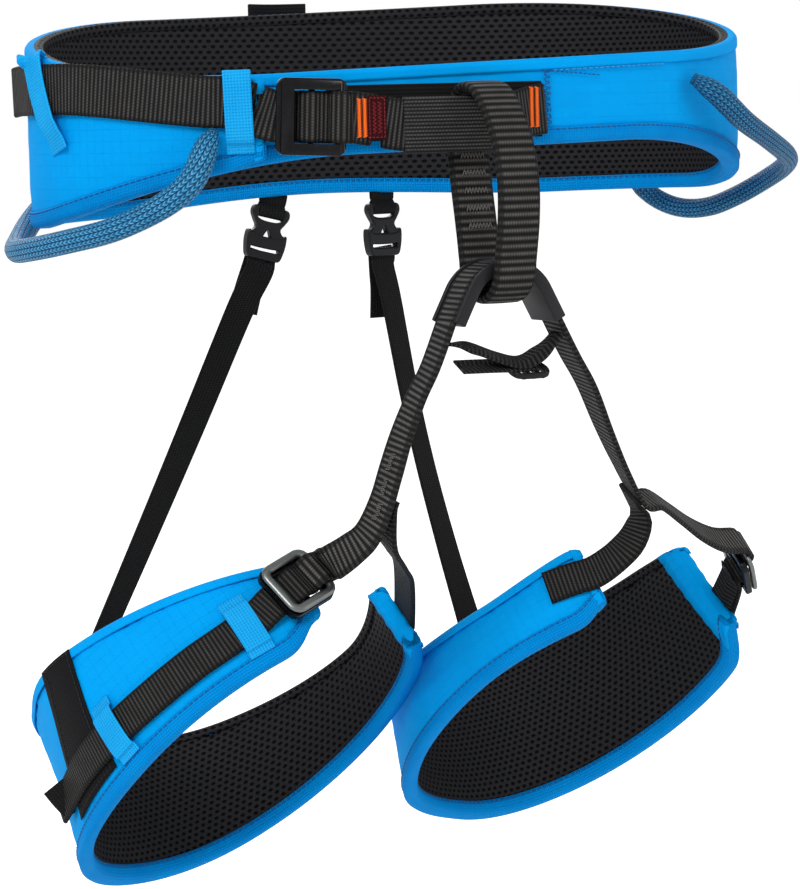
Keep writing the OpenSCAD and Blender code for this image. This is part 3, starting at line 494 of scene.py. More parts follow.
def plain_tape(name, dark, light, pitch=1.3):
    """Thin tape: a fine twill of slanting threads."""
    f = Finish(name, dark, 0.7, Specular_IOR_Level=0.1)
    u, v = f.route()
    twill = ((u + v*0.6)*(TURN/pitch)).wave()
    rows = (v*(TURN/1.6)).wave()
    cloud = f.noise(90.0, 3.0)
    f.paint((twill*rows*(0.4 + cloud)).clamp(), dark, light)
    f.relief(twill*0.5 + rows*0.4, 0.00025, 0.8)
    return f.material


def braid(name, ground, thread, glint):
    """Braided sleeve: fine columns of slanting stitches along the cord, each the mirror of the next,
    with a painted highlight in the glint colour on the stitch crowns; u runs along the cord, v once round it."""
    f = Finish(name, ground, 0.4, Specular_IOR_Level=0.1)
    u, v = f.route()
    column = ((v*14.0).fract() - 0.5).abs()*2.0
    stitch = ((u/2.3 + column*0.8)*TURN).wave()
    crown = (stitch*0.6 + 0.4)*(1.0 - column.smooth(0.72, 1.0))
    # glint is a painted highlight, laid on the brightest stitch crowns
    f.put(f.shader.inputs["Base Color"],
          f.blend((crown.power(4.0)*(0.2 + f.noise(300.0)*1.1)).clamp(),
                  f.blend(crown.smooth(0.1, 0.7), (*ground, 1), (*thread, 1)), (*glint, 1)))
    f.relief(crown, 0.0005, 1.0)
    return f.material


def anodised(name, dark, light, roughness):
    """Anodised aluminium: even tone, faint tumble marks, and broad random patches a little lighter."""
    f = Finish(name, light, roughness, Metallic=0.9, Specular_IOR_Level=0.3)
    marks = f.noise(420.0, 4.0, 0.6)
    wear = f.noise(75.0, 3.0)
    f.paint((wear*0.6 + marks*0.35).clamp(), dark, light)
    f.rough(roughness - 0.05 + marks*0.14)
    f.relief(marks, 0.00006, 0.6)
    return f.material


def moulded(name, tone, roughness):
    """Moulded plastic: satin skin with a fine grain."""
    f = Finish(name, tone, roughness, Specular_IOR_Level=0.2)
    grain = f.noise(900.0, 2.0)
    flow = f.noise(40.0, 2.0)
    f.paint(flow, tone, tuple(c*1.7 + 0.004 for c in tone))
    f.rough(roughness - 0.06 + flow*0.12)
    f.relief(grain, 0.00005, 0.7)
    return f.material


def thread(name, dark, light):
    """Sewing thread: two-ply twist."""
    f = Finish(name, light, 0.5, Specular_IOR_Level=0.3)
    u, v = f.route()
    twist = ((u/0.8 + v)*TURN).wave()
    f.paint(twist, dark, light)
    f.relief(twist, 0.00012, 0.8)
    return f.material


SHELL = shell_fabric()
TAPE = edge_tape("edge_tape", (0.0, 0.19, 0.6), (0.0, 0.3, 0.76))
ELASTIC = edge_tape("elastic_tape", (0.0, 0.26, 0.68), (0.02, 0.46, 0.93))
MESH = mesh_lining()
STRAP = webbing("strap_webbing", (0.006, 0.006, 0.006), (0.075, 0.072, 0.07), 2.0, half=9.6)
LEG_STRAP = webbing("leg_strap_webbing", (0.005, 0.005, 0.005), (0.06, 0.058, 0.056), 1.9, half=6.6)
LOAD = webbing("load_webbing", (0.005, 0.005, 0.005), (0.04, 0.039, 0.038), 2.2, 0.35)
BELAY = webbing("belay_webbing", (0.006, 0.006, 0.006), (0.1, 0.096, 0.09), 3.3, 0.0, 0.8, 8.4)
LEG_WEB = webbing("leg_webbing", (0.007, 0.007, 0.007), (0.13, 0.126, 0.12), 2.5, 0.0, 0.7, 5.6)
SLEEVE = woven_rows("sleeve_webbing", (0.008, 0.008, 0.008), (0.085, 0.083, 0.082))
BLACK = plain_tape("black_tape", (0.004, 0.004, 0.004), (0.017, 0.017, 0.018))
LABEL = plain_tape("label_tape", (0.004, 0.004, 0.005), (0.011, 0.011, 0.012), 0.8)
RED_CLOTH = plain_tape("dark_red_cloth", (0.02, 0.002, 0.003), (0.09, 0.006, 0.01), 0.9)
# the two gear cords are one braid: the left cord's colours are the right cord's darkened, as painted shade
RIGHT_BRAID = braid("right_braid", (0.002, 0.03, 0.09), (0.005, 0.12, 0.3), (0.12, 0.45, 0.7))
LEFT_BRAID_PAINTED_SHADE = braid("left_braid", (0.001, 0.02, 0.065), (0.003, 0.08, 0.21), (0.07, 0.32, 0.55))
DARK_METAL = anodised("dark_anodised", (0.008, 0.008, 0.009), (0.03, 0.03, 0.032), 0.24)
GREY_METAL = anodised("grey_anodised", (0.12, 0.13, 0.125), (0.24, 0.26, 0.25), 0.3)
PLASTIC = moulded("black_plastic", (0.004, 0.004, 0.005), 0.36)
GUARD = moulded("guard_plastic", (0.008, 0.008, 0.01), 0.4)
DARK_THREAD = thread("dark_thread", (0.0, 0.05, 0.2), (0.0, 0.13, 0.42))
BLUE_THREAD = thread("blue_thread", (0.0, 0.2, 0.5), (0.05, 0.42, 0.8))
ORANGE = thread("orange_thread", (0.75, 0.08, 0.0), (1.0, 0.2, 0.01))
RED = thread("red_thread", (0.12, 0.004, 0.008), (0.3, 0.012, 0.022))
DIM_THREAD = thread("dim_thread", (0.006, 0.006, 0.007), (0.025, 0.025, 0.027))
GREY_THREAD = thread("grey_thread", (0.05, 0.048, 0.046), (0.16, 0.15, 0.14))

# ---------- mesh helpers ----------


def linked(name, mesh, material):
    """The object of a mesh, smooth and of one material."""
    mesh.name = name
    mesh.polygons.foreach_set("use_smooth", np.ones(len(mesh.polygons), bool))
    mesh.materials.clear()
    mesh.materials.append(material)
    mesh.update()
    made = bpy.data.objects.new(name, mesh)
    scene.collection.objects.link(made)
    return made


def settled(piece, body, nodes=(), slot=None):
    if body:
        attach(piece, body)
    if nodes:
        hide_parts(*nodes)
    return piece


def volume(v, f):
    a, b, c, d = (v[f[:, k]] for k in range(4))
    return (np.einsum("ij,ij->i", a, np.cross(b, c)) + np.einsum("ij,ij->i", a, np.cross(c, d))).sum()


def skin(grid, u, v, loop=False):
    """Faces and map of a closed skin over a grid of rings: u along the rings, v round each; the ends
    are capped unless it is a loop. Faces are turned outwards by the sign of the volume."""
    n, m = grid.shape[:2]
    idx = np.arange(n*m).reshape(n, m)
    i = np.arange(n if loop else n - 1)[:, None]
    j = np.arange(m)[None, :]
    i2, j2 = (i + 1) % n, (j + 1) % m
    quads = np.stack([idx[i, j], idx[i, j2], idx[i2, j2], idx[i2, j]], -1).reshape(-1, 4)
    u0, u1 = u[i], u[i + 1]
    v0, v1 = v[j], v[j + 1]
    maps = np.stack([np.stack(np.broadcast_arrays(*q), -1) for q in ((u0, v0), (u0, v1), (u1, v1), (u1, v0))],
                    2).reshape(-1, 4, 2)
    caps = [] if loop else [idx[0][::-1].tolist(), idx[-1].tolist()]
    verts = grid.reshape(-1, 3)
    if volume(verts - verts.mean(0), quads) < 0:
        quads, maps, caps = quads[:, ::-1], maps[:, ::-1], [c[::-1] for c in caps]
    maps = maps.reshape(-1, 2)
    for k, cap in enumerate(caps):
        end = u[0] if k == 0 else u[-1]
        ring = {q: v[p] for p, q in enumerate(idx[0 if k == 0 else -1].tolist())}
        maps = np.concatenate([maps, [(end, ring[q]) for q in cap]])
    return verts, quads.tolist() + caps, maps


def join(parts):
    """Several (verts, faces, maps) as one."""
    verts, faces, maps, base = [], [], [], 0
    for v, f, m in parts:
        verts.append(v)
        faces += [[k + base for k in face] for face in f]
        maps.append(m)
        base += len(v)
    return np.concatenate(verts), faces, np.concatenate(maps)


def strip(path, across, width, thick, loop=False, swell=0.0, step=None):
    """A strap: a flat profile with round edges carried along the path. At profile place a the
    thickness is scaled by 1 - swell*a^2, so the middle stands a little proud of the edges."""
    path, across = np.asarray(path, float), np.broadcast_to(np.asarray(across, float), np.shape(path))
    if step:
        both = evenly(np.concatenate([path, across], 1), step)
        path, across = both[:, :3], both[:, 3:]
    if loop:
        t = unit(np.roll(path, -1, 0) - np.roll(path, 1, 0))
    else:
        t = along(path)
    n = unit(np.cross(t, across))
    s = unit(np.cross(n, t))
    half, e = width/2, thick/2
    flat = np.linspace(-half + e, half - e, 9)
    turn = np.radians([-60, -20, 20, 60])
    a = np.concatenate([flat, half - e + e*np.cos(turn), flat[::-1], -half + e - e*np.cos(turn)])
    h = np.concatenate([0*flat + e, -e*np.sin(turn), 0*flat - e, e*np.sin(turn)])
    h = h*(1 - swell*(a/half)**2)
    grid = path[:, None] + s[:, None]*a[None, :, None] + n[:, None]*h[None, :, None]
    u = lengths(np.concatenate([path, path[:1]]) if loop else path)
    return skin(grid, u, np.append(a, a[0]), loop)


def round_cord(path, radius, sides=20, step=None):
    """A round cord: circles square to the path; u is the length in mm, v goes once round."""
    path = np.asarray(path, float)
    radius = np.broadcast_to(np.asarray(radius, float), (len(path),))
    if step:
        both = evenly(np.concatenate([path, radius[:, None]], 1), step)
        path, radius = both[:, :3], both[:, 3]
    t = along(path)
    side = unit(np.cross(t, [0, 0.2, 1.0]))
    up = np.cross(side, t)
    a = np.linspace(0, 2*np.pi, sides + 1)
    circle = side[:, None]*np.cos(a[:-1])[None, :, None] + up[:, None]*np.sin(a[:-1])[None, :, None]
    return skin(path[:, None] + radius[:, None, None]*circle, lengths(path), a/(2*np.pi))


def stitches(path, normals, pitch=3.0, length=2.2, r=0.32, lift=0.15):
    """A row of stitches: a short round-ended bar at every pitch along the path, lying on its normals."""
    both = evenly(np.concatenate([path, normals], 1), pitch)
    c, n = both[:, :3], unit(both[:, 3:])
    t = along(c)
    s = np.cross(n, t)
    rows = np.array([-0.5, -0.42, 0.0, 0.42, 0.5])*length
    size = np.array([0.25, 0.8, 1.0, 0.8, 0.25])*r
    drop = np.array([-0.5, -0.1, 0.12, -0.1, -0.5])*r
    a = np.linspace(0, 2*np.pi, 7)[:-1]
    grid = (c[:, None, None] + t[:, None, None]*rows[None, :, None, None]
            + n[:, None, None]*(lift + drop[None, :, None, None]
                                + (size[:, None]*np.sin(a))[None, :, :, None])
            + s[:, None, None]*(size[:, None]*np.cos(a))[None, :, :, None])
    one, faces, maps = skin(grid[0], rows - rows[0], np.linspace(0, 1, 7))
    base = np.arange(len(c))*len(one)
    every = [[k + b for k in face] for b in base for face in faces]
    return grid.reshape(-1, 3), every, np.tile(maps, (len(c), 1))


def zigzag(corner, ahead, side, normal, long, wide, count, r=0.3):
    """A bar of close zigzag stitches: a thread that crosses the bar count times along its length."""
    k = np.arange(count + 1)
    line = corner + ahead*(k/count*long)[:, None] + side*(k % 2*wide)[:, None] + normal*0.25
    return round_cord(curve(line, 3), r, 6)


def piece(parts, name, material, body, nodes=(), slot=None):
    """A piece from (corner places in mm, faces, corner maps) or a list of them, riding on a body."""
    verts, faces, maps = join(parts) if isinstance(parts, list) else parts
    mesh = bpy.data.meshes.new(name)
    mesh.from_pydata((np.asarray(verts)*MM).tolist(), [], faces)
    if maps is not None:
        layer = mesh.uv_layers.new(name="route")
        layer.data.foreach_set("uv", np.asarray(maps, np.float32).ravel())
    return settled(linked(name, mesh, material), body, nodes, slot)


def merge(mesh, near, flat=None):
    """Merges vertices nearer than near, and faces that meet at less than flat degrees."""
    work = bmesh.new()
    work.from_mesh(mesh)
    bmesh.ops.remove_doubles(work, verts=work.verts, dist=near)
    if flat:
        bmesh.ops.dissolve_limit(work, angle_limit=np.radians(flat), verts=work.verts, edges=work.edges)
    work.to_mesh(mesh)
    work.free()


def softened(node, material, body, slot, width=0.6):
    """A copy of a CAD node with its triangles merged and its sharp edges rounded."""
    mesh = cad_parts[node].data.copy()
    merge(mesh, 2e-6, 1.0)
    copy = linked(node + "_finished", mesh, material)
    bevel = copy.modifiers.new("round_edges", "BEVEL")
    bevel.width, bevel.segments, bevel.limit_method = width*MM, 3, "ANGLE"
    bevel.angle_limit, bevel.harden_normals, bevel.use_clamp_overlap = np.radians(28), True, True
    return settled(copy, body, [node], slot)


# ---------- padded belt and leg pads ----------

pads = []
sunk, swell_most = 0.9, 0.75      # mm: the shells start this far inside the faces, and swell by no more
voxel = 0.004                     # metres
pressure, cloth_steps = 4.0, 20


def stuffed(name, turns, low, high, at, coords, thick, body, nodes, hem):
    """A pad: a closed shell between its lower and upper hems, remeshed and blown up as cloth. Each
    face is then set on its smooth surface plus the cloth's swelling, which fades out at the hems."""
    k = np.linspace(0, 1, 16)[None, :]
    faces = []
    for out, below in ((-sunk, 1.4), (sunk - thick, 1.0)):
        h = mix(low(turns)[:, None] + hem, high(turns)[:, None] - below, k)
        faces.append(at(turns[:, None], out + 0*h, h))
    grid = np.concatenate([faces[0], faces[1][:, ::-1]], 1)
    v, f, _ = skin(grid, turns, np.arange(grid.shape[1] + 1.0))
    shape = piece((v, f, None), name, SHELL, None)
    remesh = shape.modifiers.new("even_faces", "REMESH")
    remesh.mode, remesh.voxel_size = "VOXEL", voxel
    mesh = bpy.data.meshes.new_from_object(evaluated(shape))
    shape.modifiers.clear()
    shape.data = mesh
    mesh.name = name
    cloth = shape.modifiers.new("filling", "CLOTH")
    cloth.settings.use_pressure = True
    cloth.settings.uniform_pressure_force = pressure
    cloth.settings.effector_weights.gravity = 0.0
    cloth.settings.quality = 4
    cloth.point_cache.frame_start, cloth.point_cache.frame_end = 1, cloth_steps
    pads.append((shape, at, coords, low, high, thick, body, nodes, hem, turns[0], turns[-1]))
    return shape


def blow_up():
    """Runs the cloth of all pads together, then finishes each pad."""
    before = [points_of(pad[0]) for pad in pads]
    for step in range(1, cloth_steps + 1):
        scene.frame_set(step)
    after = [points_of(pad[0]) for pad in pads]
    scene.frame_set(1)
    for pad, was, now in zip(pads, before, after):
        shape, at, coords, low, high, thick, body, nodes, hem, first_turn, last_turn = pad
        shape.modifiers.clear()
        t, h, out = coords(was/MM)
        swell = np.linalg.norm(now - was, axis=1)/MM
        swell = np.minimum(swell, swell_most)
        near = np.minimum(h - low(t), high(t) - h + hem - 1.5)
        swell = swell*ease(hem, hem + 13, near)*ease(0, 6, np.minimum(t - first_turn, last_turn - t))
        ripple = 0.16*np.sin(t*0.9 + h*0.35) + 0.12*np.sin(t*0.33 - h*0.6)
        outer, inner = out > -thick*0.32, out < -thick*0.68
        level = np.where(outer, -0.95 + swell + ripple*ease(hem, hem + 8, near),
                         np.where(inner, sunk - thick - swell*0.8, out))
        mesh = shape.data
        mesh.vertices.foreach_set("co", (at(t, level, h)*MM).ravel())
        layer = mesh.uv_layers.new(name="route")
        corner = np.empty(len(mesh.loops), int)
        mesh.loops.foreach_get("vertex_index", corner)
        start = np.empty(len(mesh.polygons), int)
        mesh.polygons.foreach_get("loop_start", start)
        first = np.repeat(t[corner[start]], np.diff(np.append(start, len(corner))))
        turn = t[corner]
        turn = turn + 360*np.round((first - turn)/360)
        girth = np.pi/180*(0.5*(belt_a + belt_b) if thick > 8 else 90.0)
        layer.data.foreach_set("uv", np.stack([turn*girth, h[corner]], 1).astype(np.float32).ravel())
        middle = np.add.reduceat(out[corner], start)/np.diff(np.append(start, len(corner)))
        mesh.materials.clear()
        mesh.materials.append(SHELL)
        mesh.materials.append(MESH)
        mesh.polygons.foreach_set("material_index", (middle < -thick*0.36).astype(np.int32))
        mesh.polygons.foreach_set("use_smooth", np.ones(len(mesh.polygons), bool))
        mesh.update()
        finer = shape.modifiers.new("finer", "SUBSURF")
        finer.levels = finer.render_levels = 1
        settled(shape, body, nodes, "shell_fabric")


layers = ["cover", "foam", "lining"]
belt_layers = ["waist_" + layer for layer in layers + ["webbing"]]
belt_pad = stuffed("belt_pad", np.linspace(lap_in + 0.3, lap_out - 0.3, 260), low_z, top_z, pad_at,
                   belt_coords, belt_thick, "waist_belt", belt_layers, 3.0)
for side, leg in BOTH:
    stuffed(side + "_leg_pad", np.linspace(leg.outer + 0.4, leg.inner - 0.4, 170), leg.low, leg.high,
            leg.place, leg.coords, leg.thick, "legs", [f"{side}_leg_{layer}" for layer in layers], 2.6)
blow_up()


def hem_profile(tall, back, thick, proud):
    """A folded edge's section, as (depth below the edge, out): it starts on the outer fabric, rounds
    the edge, and comes back on the inner one."""
    return np.array([
        [tall, -0.3], [tall, proud*0.6], [tall*0.85, proud], [tall*0.4, proud], [1.6, proud*0.6], [0.5, -0.8],
        [0, -thick*0.3], [0, -thick*0.7], [0.5, -thick + 0.8], [1.6, -thick - proud*0.5],
        [back*0.5 + 0.8, -thick - proud*0.7], [back, -thick - proud*0.5], [back, -thick + 1.4],
        [max(back*0.5, 1.4), -thick*0.62], [tall*0.5, -thick*0.4]])


def crest_profile(tall, thick):
    """A turned edge's section: the fabric comes up the outer face and ends on the crest."""
    return np.array([[tall, -0.3], [tall, 0.08], [tall*0.8, 0.15], [tall*0.4, 0.12], [1.2, -0.05],
                     [0.25, -0.8], [-0.1, -thick*0.2], [-0.1, -thick*0.48], [0.5, -thick*0.6],
                     [1.6, -thick*0.64], [tall*0.5, -thick*0.3]])


def lining_profile(tall, thick):
    """The lining's turned edge: from under the fabric's crest over to the inner face and down it."""
    return np.array([[0.3, -thick*0.3], [0, -thick*0.42], [-0.05, -thick*0.72], [0.5, -thick + 0.4],
                     [1.5, -thick - 0.02], [tall*0.7, -thick - 0.05], [tall, -thick + 0.3],
                     [tall, -thick + 1.2], [tall*0.5, -thick*0.6]])


def round_section(profile):
    """The distance round a section, back to its start."""
    v = lengths(profile)
    return np.append(v, v[-1] + 4)


def seam_row(name, at, turns, heights, out, normals, body, colour=None, **size):
    """A row of stitches through places on a pad."""
    piece(stitches(at(turns, out + 0*turns, heights), normals, **size), name, colour or DARK_THREAD, body,
          slot="edge_tape")


def edged(pad, node, body, at, normal, low, high, thick, heights, seams, ends, degree, counts):
    """All edges of a pad: the fabric's crest, the lining's turned edge, the tape below, the fabric
    folded over each end, and the tape's seams. A hem is its section (depth below the edge, out)
    carried round the turns. Heights: of the crest, the tape outside and the tape inside; seams: their
    heights outside and inside; ends: (name, turn, fold's depth inside); degree: the length of one
    degree; counts: the places along the hems and the seams."""
    crest, tape, tape_inside = heights
    first, last = ends[0][1], ends[1][1]
    turns = np.linspace(first, last, counts[0])
    for name, t, edge, up, profile, material, nodes, slot in (
            ("top", turns, high, 1, crest_profile(crest, thick), SHELL, [node + "_top_binding"], "edge_tape"),
            ("lining", turns[4:-4], high, 1, lining_profile(crest, thick), MESH, (), "mesh_lining"),
            ("low", turns, low, -1, hem_profile(tape, tape_inside, thick, 0.3), TAPE,
             [node + "_bottom_binding"], "edge_tape")):
        d, o = profile.T
        grid = at(t[:, None], np.broadcast_to(o, (len(t), len(o))), edge(t)[:, None] - up*d[None])
        piece(skin(grid, lengths(at(t, 0*t, edge(t))), round_section(profile)), f"{pad}_{name}_edge",
              material, body, nodes, slot)
    k = np.linspace(0, 1, 24)[:, None]
    for (name, turn, inside), way in zip(ends, (1, -1)):
        profile = hem_profile(5.0, inside, thick, 0.35)
        t = turn + way*profile[:, 0]/degree
        h = mix(low(t)[None] + 0.4, high(t)[None] - 0.4, k)
        grid = at(np.broadcast_to(t, h.shape), profile[:, 1] + 0.25*np.sin(h*0.8), h)
        piece(skin(grid, h[:, 0], round_section(profile)), f"{pad}_{name}_end", SHELL, body, slot="edge_tape")
    t = np.linspace(first + 1, last - 1, counts[1])
    seam_row(pad + "_low_seam", at, t, low(t) + seams[0], 0.3, normal(t), body)
    seam_row(pad + "_low_seam_inside", at, t, low(t) + seams[1], -thick - 0.3, -normal(t), body)


edged("belt", "waist", "waist_belt", pad_at, belt_normal, low_z, top_z, belt_thick, (5.0, 7.5, 7.0),
      (6.5, 6.2), (("right", lap_in, 5.0), ("left", lap_out, 5.0)), 2.6, (260, 400))
t = np.linspace(7.0, 16.5, 20)
seam_row("front_seam", pad_at, t, 15.5 - 0.25*(t - 7), 0.35, belt_normal(t), "waist_belt", pitch=2.4,
         length=1.7)
h = np.linspace(-8, 15, 30)
seam_row("front_zigzag", pad_at, 7.6 + 0.45*np.sign(np.sin(h*2.6)), h, 0.45, belt_normal(7.6 + 0*h),
         "waist_belt", pitch=1.5, length=1.4)
t = np.linspace(9, 30, 30)
seam_row("front_upper_seam", pad_at, t, top_z(t) - 5.4, 0.3, belt_normal(t), "waist_belt", BLUE_THREAD)
for (side, leg), insides in zip(BOTH, ((5.0, 8.0), (13.0, 5.0))):
    edged(side + "_leg", side + "_leg", "legs", leg.place, leg.normal, leg.low, leg.high, leg.thick,
          (4.6, 6.6, 6.4), (5.6, 5.4), (("outer", leg.outer, insides[0]), ("inner", leg.inner, insides[1])),
          1.57, (200, 300))

# ---------- waist strap, buckle webbing and keepers ----------

web_thick, waist_web_w, leg_web_w = 2.2, 22.0, 16.0
fit, seat = 0.3, 0.15
plate_thick, frame_thick = 2.8, 3.0
waist_buckle_long, leg_buckle_long = 30.0, 25.0
base_z = web_thick + 2*fit
frame_z = base_z + plate_thick + fit
strap_out = web_thick/2 + fit


def buckle_run(length):
    """The webbing's way over, under, over and under the bars, as [along, across, height]."""
    h, top, x = web_thick/2, frame_z + frame_thick + web_thick/2 + fit, length/2 - 3
    plate = base_z + plate_thick
    run = np.array([[-x - 6.5, plate + 1.5], [-x - 3.3, top - 1.7], [-x, top], [-x + 3.3, top - 1.7],
                    [-x + 4.8, plate - 0.6], [-2.6, plate - 0.1], [0.5, plate + 1], [3.6, plate - 0.2],
                    [5.4, base_z + 0.6], [7.4, h + fit], [x + 4, h + fit]])
    return np.insert(run, 1, 0.0, axis=1)


def laid(at, x, y, z):
    """Carries rows of places to at, with x, y and z as their axes."""
    return lambda p: at + p[:, :1]*x + p[:, 1:2]*y + p[:, 2:]*z


def put(at, ahead, normal, p):
    """Places [along, across, out] carried to a buckle."""
    y = unit(np.cross(normal, ahead))
    return laid(at, unit(np.cross(y, normal)), y, normal)(np.asarray(p, float))


buckle_at = belt_at(-30.0, 1.0, -2.0)
buckle_normal = belt_normal(np.float64(-30.0))
buckle_ahead = np.array([-1, 0.35, 0.05])
buckle_across = unit(np.cross(buckle_normal, buckle_ahead))


def tie_line(t):
    k = ease(-5, 7, np.asarray(t, float))
    return belt_at(t, 8.4 - 10*k, mix(-6.5, -1.0, k))


def belt_strap_z(t):
    return mix(12.5, 3.0, ease(-80, -30, t))


t = np.linspace(-42, -96, 13)
run = np.concatenate([tie_line(np.array([6.5, 4, 1, -2, -5, -9, -13, -17.0])),
                      put(buckle_at, buckle_ahead, buckle_normal, buckle_run(waist_buckle_long)),
                      belt_at(t, strap_out + 0.1, belt_strap_z(t)),
                      belt_at(-101, strap_out + 1.2, 12.5)[None], belt_at(-105, strap_out + 3.6, 12.0)[None]])
up = np.array([0, 0, 1.0])
turned = np.concatenate([np.tile(up, (8, 1)), np.tile(buckle_across, (11, 1)), np.tile(up, (15, 1))])
waist_strap = piece(strip(curve(run, 5), curve(turned, 5), waist_web_w, web_thick), "waist_strap_woven",
                    STRAP, "waist_belt", ["waist_strap"], "ribbed_webbing")


def anchor_line(length, at, ahead, normal, end):
    """The tape that holds a buckle, from its bar to a place on the pad."""
    x = length/2 - 1.5
    flat = np.array([[x - 6, 0, -0.4], [x - 2, 0, -0.4], [x + 2, 0, -0.8]])
    return curve(np.concatenate([put(at, ahead, normal, flat), [end]]), 4)


line = anchor_line(waist_buckle_long, buckle_at, buckle_ahead, buckle_normal, belt_at(-37.8, 0.55, -2.0))
piece(strip(line, up, 20, 0.8), "buckle_anchor_tape", LOAD, "waist_belt", ["buckle_anchor"], "load_webbing")

piece(strip(tie_line(np.linspace(-17, -3, 24)), up, waist_web_w + 2.0, web_thick + 2.4), "tie_in_sleeve",
      SLEEVE, "waist_belt", ["tie_in_protector"], "marked_webbing")
t = np.linspace(-16.6, -3.4, 40)
piece(stitches(tie_line(t) + belt_normal(t)*2.35, belt_normal(t), 2.6, 1.9, 0.3), "tie_in_sleeve_seam",
      DIM_THREAD, "waist_belt", slot="marked_webbing")
piece(strip(pad_at(np.linspace(-27, 6.5, 40), 0.4 + seat, -1.0), up, 24, 0.8), "tie_in_backing", BLACK,
      "waist_belt", ["tie_in_patch"], "black_tape")


def keeper(name, t_top, t_low, line, node, wide):
    """An elastic band over the strap, through places [share of the turn, out, height]."""
    line = np.array(line, float)
    t = mix(t_top, t_low, line[:, 0])
    p = curve(belt_at(t, line[:, 1], line[:, 2]), 6)
    r = np.radians(mix(t_top, t_low, 0.5))
    side = unit(np.array([belt_a*np.cos(r), belt_b*np.sin(r), 0.0]))
    piece(strip(p, side, wide, 1.2, swell=0.15), name, ELASTIC, "waist_belt", [node], "elastic_tape")


lift, half = 3.8, waist_web_w/2 + 1.5
h = float(belt_strap_z(-41.25))
edge = float(top_z(np.float64(-41.5)) + end_trim(np.float64(-41.5)))
keeper("front_keeper_band", -41.5, -41, [[0, -3.5, edge + 0.9], [0.05, -1, edge + 1], [0.12, 1.6, edge + 1],
       [0.25, lift, min(h + half + 0.2, edge + 0.4)], [0.5, lift + 0.4, h], [0.8, lift, h - half - 1.4],
       [0.9, 1.2, h - half - 4.6], [1, 0.75, h - half - 8.5]], "front_keeper", 12)
h = float(belt_strap_z(-88))
edge = float(top_z(np.float64(-92)))
keeper("side_keeper_band", -90, -80, [[0, -1.5, edge + 1.2], [0.06, 1.6, edge + 0.6],
       [0.25, lift, h + half + 0.2], [0.5, lift + 0.4, h], [0.72, lift, h - half + 1],
       [0.84, 2.9, h - half - 4], [0.96, 1.5, h - half - 9], [1.06, 0.8, h - half - 14]], "side_keeper", 13)

turns = np.array([187.5, 186, 184, 182.5, 181, 179, 177.5])
lifts = np.array([0, 2.4, 5, 5.6, 5, 2.4, 0])
piece(strip(curve(belt_at(turns, 0.95 + lifts, 46.0), 5), up, 14, 1.6), "haul_loop_tape", BLACK, "waist_belt",
      ["haul_loop"], "black_tape")

# ---------- gear loops ----------

right_gear = [[-45.5, 2.6, -7.5], [-46.4, 8.5, -13.5], [-48.5, 14.5, -27], [-53, 16, -37], [-61.5, 16, -46.5],
              [-74, 13, -52.5], [-87, 11, -56], [-98, 7.5, -56.5], [-108, 6, -53.5], [-118, 6, -45.5],
              [-127, 4.5, -34]]
left_gear = [[37, 3.3, 11], [40, 11, 3.5], [46.5, 15, -8.5], [57, 18, -18], [68.5, 22.5, -25.5],
             [76.5, 24, -30.5], [84.5, 21.5, -37], [92, 15.5, -45], [99.5, 12, -50.5], [107, 11.5, -51],
             [113, 11, -46], [117.5, 3.9, -35.5]]
# the left cord gets the braid darkened as painted shade
for side, path, full, material in (("right", right_gear, 5.2, RIGHT_BRAID),
                                   ("left", left_gear, 4.7, LEFT_BRAID_PAINTED_SHADE)):
    line = curve(belt_at(*np.array(path, float).T), 8)
    d = lengths(line)
    r = mix(2.6, full + 0.5*(1 - ease(20, 60, d))*ease(8, 16, d), ease(0, 9, d))
    r = r*mix(0.7, 1, ease(0, 9, d[-1] - d))
    piece(round_cord(line, r, 24, step=1.5), side + "_gear_cord", material, side + "_gear_loop",
          [side + "_gear_loop"], side + "_braid")

# ---------- belay loop ----------

belay_w, belay_thick, belay_bend = 20.0, 4.5, 12.8
bend_r = belay_bend + belay_thick/2
line = curve([[-108, bend_z], [-105.5, -50], [-102.5, -35], [-100, -20], [-99.7, -8], [-102, 2.8],
              [-107, 7.9], [-113.5, 9.2], [-121.5, 6.4], [-130.5, -2.5], [-138, -15], [-142, -31],
              [-141.5, -48], [-138, bend_z]], 6)
k = ease(-20, bend_z, line[:, 1])
side = np.where(line[:, 0] < bend_y, -1, 1)
line[:, 0] += k*(bend_y + side*bend_r - np.where(side > 0, -108, -138))
a = np.radians(np.linspace(180, 360, 26)[1:-1])
ring = np.concatenate([line, np.stack([bend_y + bend_r*np.cos(a), bend_z + bend_r*np.sin(a)], 1)])
ring = vec(belay_x, ring[:, 0], ring[:, 1])
piece(strip(ring, [1.0, 0, 0], belay_w, belay_thick - 0.1, loop=True, swell=0.12), "belay_loop_woven", BELAY,
      "belay_loop", ["belay_loop"], "marked_webbing")

tacks = []
back = ring[(ring[:, 1] > bend_y + 12) & (ring[:, 2] < -10) & (ring[:, 2] > -52)]
for k in np.linspace(0, len(back) - 1, 6).astype(int):
    tacks.append(zigzag(back[k] + [-5, -belay_thick/2 - 0.2, -1.2], np.array([1.0, 0, 0]), up,
                        np.array([0, -1.0, 0]), 11, 2.4, 14, 0.28))
piece(tacks, "belay_loop_tacks", GREY_THREAD, "belay_loop", slot="marked_webbing")

# ---------- ring guard, leg webbing and cross strap ----------

guard_r, guard_wall, guard_turn, guard_foot = 17.0, 2.8, 62.0, 15.0
guard_half = leg_web_w/2 + 2.6
guard_z = bend_z - np.sqrt((belay_bend - seat)**2 - guard_half**2) - np.sqrt(guard_r**2 - belay_w**2/4)
web_r = guard_r + guard_wall + web_thick/2 + 0.1


